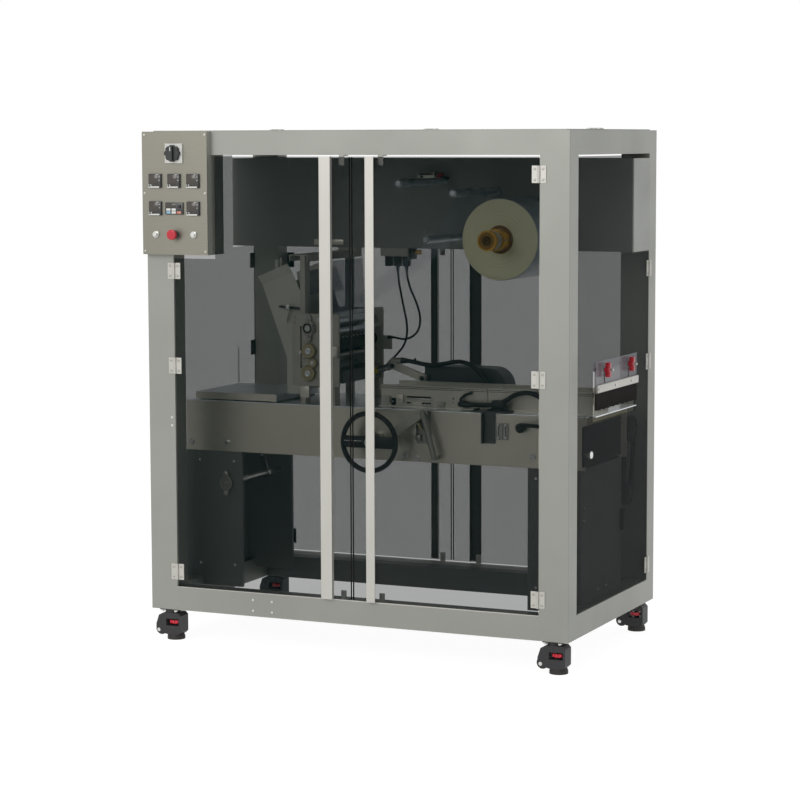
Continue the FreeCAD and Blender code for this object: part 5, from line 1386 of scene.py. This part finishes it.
@dataclass
class Conveyor:
    """Skirts, deck, side guides and the brackets that hang on them."""

    skirt: float = 235.0
    bolts: tuple[tuple[float, float], ...] = ((40, 675), (188, 677), (1373, 685), (893, 666), (938, 658))
    rail_screws: tuple[tuple[float, float], ...] = (
        (1041, 859), (1041, 851), (1069, 859), (1069, 851), (1125, 862), (1150, 862), (1196, 862), (1228, 862))

    def slotted_bars(self) -> list[Skin]:
        """Bright adjusting rods on the front guide, over black strips that are painted shade in their slots.

        Returns:
            Slots and rods.
        """
        skins = []
        for x0, x1, z in ((866, 962, 859), (924, 962, 838), (866, 884, 838)):
            # The black strip in each slot is painted shade.
            skins.append(block((x0 - 4, 317.4, z + 2), (x1 - 6, 318.4, z + 8), 0.8, BLACK_ENAMEL_AND_PAINTED_SHADE))
            skins.append(rod(x1 - x0, 3.0, 1.0, (x0, 314, z), RIGHT, PLATED_STEEL, 14))
        return skins

    def guide_details(self) -> list[Skin]:
        """Painted shade in the grooves along the top rails and in the keyholes, then small blocks and clips on the
        guide's front.

        Returns:
            All of these.
        """
        skins = []
        for x0, x1 in ((766, 1169), (1175, 1558)):
            for z in (894.0, 900.0):
                # Black lines in the grooves are painted shade.
                skins.append(block((x0, 310.7, z - 0.9), (x1, 311.3, z + 0.9), 0.2, BLACK_ENAMEL_AND_PAINTED_SHADE))
        for x in (1041.0, 1069.0):
            # The black disc on each upper hole and the black middle of each lower ring are painted shade in the
            # holes.
            skins.append(rod(1.0, 3.6, 0.4, (x, 318.2, 863), FRONT, BLACK_ENAMEL_AND_PAINTED_SHADE, 16))
            skins.append(rod(1.6, 4.4, 0.6, (x, 318.2, 851), FRONT, PLATED_STEEL, 16))
            skins.append(rod(1.8, 2.2, 0.4, (x, 318.2, 851), FRONT, BLACK_ENAMEL_AND_PAINTED_SHADE, 12))
        skins.append(block((1078, 312, 832), (1086, 318.4, 884), 1.0, CHUTE_COAT))
        for x0, x1, z0, z1, finish in ((772, 800, 838, 866, CHUTE_COAT), (806, 820, 834, 858, BLACK_ENAMEL_AND_PAINTED_SHADE),
                                       (826, 852, 842, 872, RAIL_ALUMINIUM), (980, 1010, 836, 852, CHUTE_COAT)):
            skins.append(block((x0, 308, z0), (x1, 318.4, z1), 1.5, finish))
            skins.append(rod(2.4, 3.2, 0.8, ((x0 + x1) / 2, 308.2, (z0 + z1) / 2), FRONT, PLATED_STEEL, 14))
        return skins

    def hinge_rods(self) -> list[Skin]:
        """Two bright rods with their heads over the plate hinge on the skirt, and a dark shadow gap.

        Returns:
            Gap, rods and heads.
        """
        skins = [block((1257, self.skirt - 6, 742), (1262, self.skirt - 1, 794), 1.0, BLACK_ENAMEL_AND_PAINTED_SHADE)]
        for x in (1245.0, 1272.0):
            skins.append(rod(58.0, 3.0, 1.2, (x, self.skirt - 7, 739), UP, PLATED_STEEL, 14))
            for z in (745.0, 791.0):
                skins.append(rod(4.0, 4.6, 1.2, (x + 3, self.skirt - 6, z), FRONT, PLATED_STEEL, 16))
        return skins

    def hook(self) -> Skin:
        """Bent black rod that curls back over the loom's boot: a quarter turn between two straights.

        Returns:
            The rod's skin.
        """
        turn = np.linspace(-math.pi / 2, -math.pi, 7)
        bend = np.stack([1092 + 16 * np.cos(turn), np.full(7, 300.0), 866 + 16 * np.sin(turn)], -1)
        rod = np.vstack([[(1112.0, 300.0, 850.0)], bend, [(1084.0, 300.0, 874.0), (1094.0, 301.0, 882.0),
                                                         (1118.0, 303.0, 890.0)]])
        return swept(rod, 4.5, BLACK_NYLON)

    def build(self) -> None:
        """Dress the conveyor's nodes and add its bolts, bars, clips and the elbow."""
        dress("conveyor_skirts", BRUSHED_SHEET)
        dress("conveyor_deck", DECK_SHEET)
        dress("outlet_tray", DECK_SHEET)
        skin_over("infeed_cover", COVER_SHEET, 1.2, [Patch((50, 238, 830), (390, 242, 860), BRUSHED_SHEET)])
        skin_over("deck_rails", RAIL_ALUMINIUM, 0.6)
        patches = [Patch((1130, 225, 828), (1290, 300, 836), RAIL_COAT),
                   Patch((1180, 190, 720), (1237, 245, 829), RAIL_COAT),
                   Patch((1232, 225, 735), (1284, 235.2, 800), CAST_ZINC)]
        skin_over("deck_brackets", BLACK_NYLON, 0.8, patches)
        skin_over("release_lever", DULL_STEEL, 0.8, [Patch((870, 200, 745), (990, 216, 845), CHUTE_COAT)])
        y = self.skirt
        skins = [copies(hex_bolt(9.5, 7.5), [(x, y, z) for x, z in self.bolts], FRONT),
                 copies(screw(3.4, 2.0), [(x, 318.0, z) for x, z in self.rail_screws], FRONT),
                 copies(hex_bolt(6.0, 7.0, BLACK_NYLON),
                        [(x, yy, 835.0) for x in (1155, 1205, 1262) for yy in (246, 272)], UP),
                 copies(screw(3.6, 2.4), [(x, y - 4, z) for x in (1242, 1277) for z in (749, 787)], FRONT)]
        skins += self.slotted_bars() + self.guide_details() + self.hinge_rods() + [self.hook()]
        skins += [block((1204, 272, 838), (1250, 298, 869), 2.0, BLACK_NYLON),
                  block((928, y - 3, 714), (984, y, 757), 2.0, RAIL_ALUMINIUM),
                  block((938, y - 16, 722), (958, y - 2, 742), 3.0, DULL_STEEL)]
        elbow = np.array([(924, 228, 790), (936, 222, 790), (948, 220, 784), (956, 220, 774), (960, 220, 762)])
        skins.append(swept(elbow, 6.5, GEAR_BRASS))
        skins += [block((x - 6, 316, 888), (x + 8, 322, 895), 1.5, RED_PLASTIC) for x in (876, 982)]
        make_piece("conveyor_fittings", skins)
        cable = np.array([(1334, 205, 785), (1340, 196, 789), (1352, 188, 795), (1370, 186, 798), (1395, 190, 797),
                          (1420, 205, 793), (1436, 224, 790), (1440, 236, 789)])
        make_piece("gland_lead", [swept(cable, 6.5, LOOM_BRAID)], "frame")


@dataclass
class SealingArm:
    """Arm over the deck with its yellow band, ring clamp and bolted pivot, and the motor's cover."""

    middle: float = 519.0

    def build(self) -> None:
        """Skin the arm and the covers, and add band, clamp and bolts."""
        links = [Patch((712, 505, 890), (850, 515, 972), RAIL_ALUMINIUM),
                 Patch((712, 523, 890), (850, 533, 972), RAIL_ALUMINIUM)]
        skin_over("sealing_arm", DULL_STEEL, 0.6, links)
        skin_over("drive_covers", COVER_COAT, 1.2,
                  [Patch((1560, 190, 655), (1575, 590, 805), BLACK_ENAMEL_AND_PAINTED_SHADE)])
        way = np.array([82.0, 0.0, 23.0]) / math.hypot(82.0, 23.0)
        tip = np.array([640.0, self.middle, 930.0])
        skins = [turned([(0.0, 12.4), (16.0, 12.4)], tip + way * 4, way, YELLOW_BAND, 32),
                 turned([(0.0, 13.0), (1.0, 14.5), (7.0, 14.5), (8.0, 13.0)], tip + way * 58, way,
                        PLATED_STEEL, 32),
                 block((622, 508, 908), (642, 530, 945), 3.0, RAIL_ALUMINIUM),
                 copies(hex_bolt(7.0, 6.0, BLACK_NYLON), [(838, 502, 912), (722, 502, 953)], FRONT),
                 rod(14.0, 16.0, 2.0, (838, 545, 912), FRONT, RAIL_COAT, 32)]
        make_piece("arm_fittings", skins)


@dataclass
class Handwheel:
    """Moulded wheel with a flat cross bar and a pressed cap."""

    centre: tuple[float, float, float] = (788.0, 162.0, 716.0)
    radius: float = 101.0
    rim: float = 9.0

    def build(self) -> None:
        """Turn the rim as a torus, then the bar, the hub and the cap."""
        x, y, z = self.centre
        around = np.linspace(0.0, 2 * math.pi, 97)[:-1]
        tube = np.linspace(0.0, 2 * math.pi, 20, endpoint=False)
        big, small = np.meshgrid(around, tube, indexing="ij")
        reach = self.radius + self.rim * np.cos(small)
        points = np.stack([x + reach * np.cos(big), y + self.rim * np.sin(small), z + reach * np.sin(big)], -1)
        rows, columns = points.shape[:2]
        here = np.arange(rows)[:, None] * columns + np.arange(columns)
        down = np.roll(here, -1, 0)
        faces = np.stack([here, np.roll(here, -1, 1), np.roll(down, -1, 1), down], -1).reshape(-1, 4)
        rim = Skin(points.reshape(-1, 3), [tuple(f) for f in faces.tolist()], BLACK_NYLON)
        reach = self.radius - 2.0
        bar = block((x - reach, y - 6, z - 21), (x + reach, y + 6, z + 21), 4.0, BLACK_NYLON)
        rib = block((x - reach + 4, y - 7.4, z + 2), (x - 26, y - 4, z + 5), 1.2, PLATED_STEEL)
        hub = turned([(0.0, 10.1), (0.0, 20.0), (2.0, 22.0), (36.0, 22.0), (40.0, 19.0), (40.0, 9.0)],
                     (x, y + 28, z), FRONT, BLACK_NYLON, 40)
        cap = turned([(0.0, 14.0), (1.6, 14.0), (3.2, 10.0), (3.8, 5.0)], (x, y - 12, z), FRONT, PLATED_STEEL, 32)
        make_piece("wheel_moulding", [rim, bar, rib, hub, cap], "handwheel", ["handwheel"])


@dataclass
class Pedestals:
    """Folded pedestals with the lift shaft, its bearings and their bolts."""

    front: float = 240.0
    outer: float = 1547.0

    def build(self) -> None:
        """Dress the pedestals and bolt them."""
        dress("pedestals", PEDESTAL_COAT)
        skin_over("lift_shaft", PLATED_STEEL, 0.6)
        side = [(self.outer, y, z) for y in (267, 633) for z in (471, 511)]
        side += [(self.outer, y, z) for y in (413, 495) for z in (171, 210)]
        front = [(x, self.front, z) for x in (70, 210, 1382, 1522) for z in (230, 610)]
        flange = block((14, self.front, 152), (46, self.front + 3, 645), 1.0, PEDESTAL_COAT)
        skins = [copies(screw(5.0, 2.6), side, RIGHT), copies(screw(5.0, 2.6), front, FRONT),
                 copies(hex_bolt(5.5, 6.0), [(182, 228, 530 + s * 36) for s in (-1, 1)], FRONT),
                 flange, block((1547, 640, 384), (1562, 652, 463), 2.0, BLACK_NYLON)]
        make_piece("pedestal_screws", skins)


@dataclass
class OutletGuard:
    """Adjustable guard on the right side door: sheet, strip, bristles and wing knobs."""

    face: float = 1592.0
    front: float = 243.0
    back: float = 665.0
    strip: tuple[float, float] = (912.0, 938.0)
    tips: float = 850.0
    tufts: int = 150
    knobs: tuple[float, float] = (330.0, 578.0)
    knob_z: float = 985.0

    def wing_knob(self, y: float) -> list[Skin]:
        """Red wing knob outside the sheet, its twin inside, and the bright stud between them.

        Args:
            y: Where the stud stands along the guard.

        Returns:
            Wings, hubs and stud.
        """
        skins = [turned([(0.0, 4.0), (69.0, 4.0), (70.0, 3.0)], (self.face - 33, y, self.knob_z), RIGHT,
                        PLATED_STEEL, 16)]
        for start in (self.face + 5.4, self.face - 29.0):
            skins.append(rod(19.0, 9.0, 2.0, (start, y, self.knob_z), RIGHT, RED_PLASTIC, 24))
            for side in (-1, 1):
                low = (start + 3, y - 7, self.knob_z + side * 5)
                skins.append(block(low, (start + 22, y + 7, self.knob_z + side * 25), 3.5, RED_PLASTIC))
        return skins

    def brush(self) -> Skin:
        """Comb of bristles: a wavy sheet of tufts whose lower edge is ragged.

        A tuft's tip hangs at the brush's lower level plus a sum of two sines of its number.

        Returns:
            The bristles' skin.
        """
        step = (self.back - self.front - 2) / self.tufts
        number = np.arange(self.tufts)
        y = self.front + 1 + step * (number + 0.5)
        drop = 3.0 + 2.0 * np.sin(number * 2.399) + 1.5 * np.sin(number * 0.37)
        lean = 1.3 * np.sin(number * 1.7)
        made = []
        for row, x in enumerate((self.face + 2.2, self.face + 5.4)):
            top = np.stack([np.full_like(y, x), y + row * step / 2, np.full_like(y, self.strip[0])], -1)
            tip = np.stack([np.full_like(y, x) + 0.8 * np.sin(number * 0.9 + row), y + lean, self.tips + drop], -1)
            made.append((top, tip))
        tops, tips = np.concatenate([m[0] for m in made]), np.concatenate([m[1] for m in made])
        angle = np.linspace(0.0, 2 * math.pi, 6, endpoint=False)
        ring = np.stack([np.cos(angle), np.sin(angle), np.zeros(6)], -1) * (step * 0.62)
        points = np.concatenate([tops[:, None] + ring, tips[:, None] + ring * 0.75], 1)
        here = np.arange(6)
        after = np.roll(here, -1)
        quads = np.stack([here + 6, after + 6, after, here], -1)
        base = np.arange(len(tops))[:, None, None] * 12
        faces = [tuple(q) for q in (quads[None] + base).reshape(-1, 4).tolist()]
        lids = np.stack([here, here[::-1] + 6])
        faces += [tuple(f) for f in (lids[None] + base).reshape(-1, 6).tolist()]
        return Skin(points.reshape(-1, 3), faces, BRISTLES)

    def build(self) -> None:
        """Dress the sheet, hang the bristles under their strip, and skin the knobs."""
        dress("outlet_guard", GUARD_SHEET)
        low, high = self.strip
        outer = self.face + 5.0
        skins = [block((outer, self.front, low), (outer + 8, self.back, high), 1.0, ANODISED),
                 block((self.face + 0.5, self.front, low - 3), (outer, self.back, low + 1), 0.5, RAIL_COAT),
                 self.brush()]
        for y in (256.0, 425.0, 589.0):
            skins.append(block((outer + 7.6, y - 9, 921), (outer + 8.3, y + 9, 929), 3.0, RAIL_COAT))
            skins += [copies(screw(4.6, 2.2), [(outer + 8, y + 2, 925)], RIGHT)]
        make_piece("guard_strip", skins, "right_side_door", ["guard_brush"])
        knobs = [skin for y in self.knobs for skin in self.wing_knob(y)]
        make_piece("wing_knobs", knobs, "right_side_door", ["guard_knobs"])
        # Black strips over the knobs' slots in the sheet are painted shade in the slots.
        slots = [block((outer - 0.2, y - 3, 940), (outer + 0.4, y + 3, 975), 2.0, BLACK_ENAMEL_AND_PAINTED_SHADE) for y in self.knobs]
        make_piece("guard_slot_shade", slots, "right_side_door")
        knob = turned([(0.0, 5.0), (22.0, 5.0), (22.0, 11.0), (24.0, 13.0), (34.0, 13.0), (36.0, 11.0)],
                      (1562, 206, 706), RIGHT, PLATED_STEEL, 32)
        make_piece("end_plate_knob", [knob])


@dataclass
class Drive:
    """Belt drive at the outlet end: flanged pulleys and a toothed belt."""

    middle: float = 1550.0
    upper: tuple[float, float, float] = (732.0, 735.0, 50.0)
    lower: tuple[float, float, float] = (700.0, 511.0, 43.0)

    def build(self) -> None:
        """Skin the belt and the pulleys, and give the pulleys their hubs."""
        skin_over("drive_belt", BELT_RUBBER, 0.4)
        skin_over("drive_pulleys", BLACK_ENAMEL_AND_PAINTED_SHADE, 0.6)
        skins = []
        for y, z, radius in (self.upper, self.lower):
            hub = [(0.0, radius * 0.5), (2.0, radius * 0.5), (3.0, radius * 0.44), (3.0, radius * 0.3),
                   (5.0, radius * 0.28), (5.6, radius * 0.22)]
            skins.append(turned(hub, (self.middle + 11.0, y, z), RIGHT, DARK_ROLLER, 32))
        make_piece("pulley_hubs", skins, "frame")


@dataclass
class Casters:
    """Levelling casters: cast housings, nylon wheels, rubber pads and red thumb nuts."""

    corners: tuple[tuple[float, float], ...] = ((62, 42), (62, 843), (1530, 42), (1530, 843))
    floor: float = -15.0

    def build(self) -> None:
        """Skin the casters and fit the red nuts, the axle ends and the plate bolts."""
        skin_over("caster_housings", CASTER_COAT, 1.2)
        pads = [Patch((x - 60, y - 60, self.floor + 56), (x + 60, y + 60, self.floor + 70), LIGHTER_SIGNAL_RED)
                for x, y in self.corners]
        skin_over("caster_pads", PAD_RUBBER, 0.6, pads)
        for number in range(1, 5):
            skin_over("caster_wheel_%d" % number, BLACK_NYLON, 0.0)
        skins = []
        lobes = np.arange(8) * math.pi / 4
        for x, y in self.corners:
            for side, way in ((-1, FRONT), (1, BACK)):
                axle = (x - 42.0, y + side * 29.0, self.floor + 33.0)
                skins.append(turned([(0.0, 6.5), (1.5, 6.5), (2.2, 4.0)], axle, way, PLATED_STEEL, 20))
            places = [(x + dx, y + dy, self.floor + 108.0) for dx in (-26, 26) for dy in (-26, 26)]
            skins.append(copies(hex_bolt(6.0, 7.0), places, DOWN))
            centre = np.array([x + 13.0, y, self.floor])
            skins += [rod(12.0, 5.0, 2.0, centre + (18.5 * math.cos(a), 18.5 * math.sin(a), 57.0), UP,
                             LIGHTER_SIGNAL_RED, 14) for a in lobes]
            foot = [(11.0, 31.0), (14.0, 31.0), (20.0, 28.0), (26.0, 27.0), (30.0, 22.0), (33.0, 12.0)]
            skins.append(turned(foot, centre, UP, PAD_RUBBER, 36))
        make_piece("caster_fittings", skins, "frame")


@dataclass
class Studio:
    """Pale floor, plain soft light and the camera at the photograph's angle."""

    eye: tuple[float, float, float] = (3.6105, -8.0156, 1.7838)
    tilt: float = 6.03
    turn: float = 24.37
    roll: float = -0.17
    lens: float = 111.1
    daylight: float = 0.55
    floor_reach: float = 30.0
    floor_glow: float = 1.12
    floor_share: float = 0.84

    def seen(self, tree: bpy.types.NodeTree) -> bpy.types.Node:
        """Node that is one for camera, glossy and transmitted rays, and nought for light on things.

        Args:
            tree: The node tree.

        Returns:
            The node.
        """
        path = add_node(tree, "ShaderNodeLightPath")
        first = add_node(tree, "ShaderNodeMath", {"operation": "MAXIMUM"},
                         {0: (path, "Is Camera Ray"), 1: (path, "Is Glossy Ray")})
        return add_node(tree, "ShaderNodeMath", {"operation": "MAXIMUM"},
                        {0: (first, 0), 1: (path, "Is Transmission Ray")})

    def sky(self) -> None:
        """White surround: full white where it is seen, softer where it lights."""
        world = bpy.data.worlds.new("surround")
        bpy.context.scene.world = world
        tree = blank_tree(world)
        light = add_node(tree, "ShaderNodeBackground", {"Color": (1, 1, 1, 1), "Strength": self.daylight})
        white = add_node(tree, "ShaderNodeBackground", {"Color": (1, 1, 1, 1), "Strength": 1.0})
        mixed = add_node(tree, "ShaderNodeMixShader",
                         links={0: (self.seen(tree), 0), 1: (light, "Background"), 2: (white, "Background")})
        add_node(tree, "ShaderNodeOutputWorld", links={"Surface": (mixed, 0)})

    def floor(self) -> None:
        """Wide pale floor that keeps a faint shadow of the machine."""
        mesh = bpy.data.meshes.new("studio_floor")
        reach = self.floor_reach
        corners = [(-reach, -reach, 0.0), (reach, -reach, 0.0), (reach, reach, 0.0), (-reach, reach, 0.0)]
        mesh.from_pydata(corners, [], [(0, 1, 2, 3)])
        material = bpy.data.materials.new("studio_floor")
        tree = blank_tree(material)
        matte = add_node(tree, "ShaderNodeBsdfDiffuse", {"Color": linear("#F4F4F2")})
        glow = add_node(tree, "ShaderNodeEmission", {"Color": (1, 1, 1, 1), "Strength": self.floor_glow})
        share = add_node(tree, "ShaderNodeMath", {"operation": "MULTIPLY", 1: self.floor_share},
                         {0: (self.seen(tree), 0)})
        mixed = add_node(tree, "ShaderNodeMixShader", links={0: (share, 0), 1: (matte, 0), 2: (glow, 0)})
        add_node(tree, "ShaderNodeOutputMaterial", links={"Surface": (mixed, 0)})
        mesh.materials.append(material)
        show("studio_floor", mesh)

    def lamp(self, name: str, place: tuple[float, float, float], aim: tuple[float, float, float], size: float,
             power: float, tint: tuple[float, float, float] = (1.0, 1.0, 1.0)) -> None:
        """Soft square lamp.

        Args:
            name: Name of the lamp.
            place: Where it hangs.
            aim: Where it points.
            size: Side of the square.
            power: Power in watts.
            tint: Colour of its light.
        """
        data = bpy.data.lights.new(name, "AREA")
        data.size = size
        data.energy = power
        data.color = tint
        lamp = show(name, data)
        lamp.location = place
        lamp.rotation_euler = (Vector(aim) - Vector(place)).to_track_quat("-Z", "Y").to_euler()

    def camera(self) -> None:
        """Camera with the photograph's place, angle and lens."""
        data = bpy.data.cameras.new("camera")
        data.lens = self.lens
        data.sensor_width = 36.0
        data.clip_end = 100.0
        camera = show("camera", data)
        turn = (Matrix.Rotation(math.radians(self.turn), 3, "Z")
                @ Matrix.Rotation(math.radians(90.0 - self.tilt), 3, "X")
                @ Matrix.Rotation(math.radians(self.roll), 3, "Z"))
        camera.location = self.eye
        camera.rotation_euler = turn.to_euler()
        bpy.context.scene.camera = camera

    def build(self) -> None:
        """Set the surround, the floor, the lamps and the camera."""
        scene = bpy.context.scene
        scene.view_settings.view_transform = "Standard"
        scene.cycles.transparent_max_bounces = 24
        self.sky()
        self.floor()
        self.lamp("front_softbox", (-1.5, -6.0, 3.6), (0.0, 0.0, 0.9), 3.0, 150.0)
        self.lamp("side_softbox", (6.0, -1.0, 3.0), (0.0, 0.0, 0.9), 3.0, 33.0, (0.84, 0.9, 1.0))
        self.lamp("top_softbox", (0.0, 0.0, 5.0), (0.0, 0.0, 0.0), 3.5, 60.0)
        self.camera()


def main() -> None:
    """Build the cables first, then each sub-assembly, then the studio."""
    logging.basicConfig(level=logging.INFO, format="%(name)s %(message)s")
    assemblies = [Cables(), WeldedFrame(), ControlPanel(), Doors(), FilmReel(), FilmPath(), FilmHead(),
                  JunctionBox(), Conveyor(), SealingArm(), Handwheel(), Pedestals(), OutletGuard(), Drive(),
                  Casters(), Studio()]
    for assembly in assemblies:
        assembly.build()


if __name__ == "__main__":
    main()
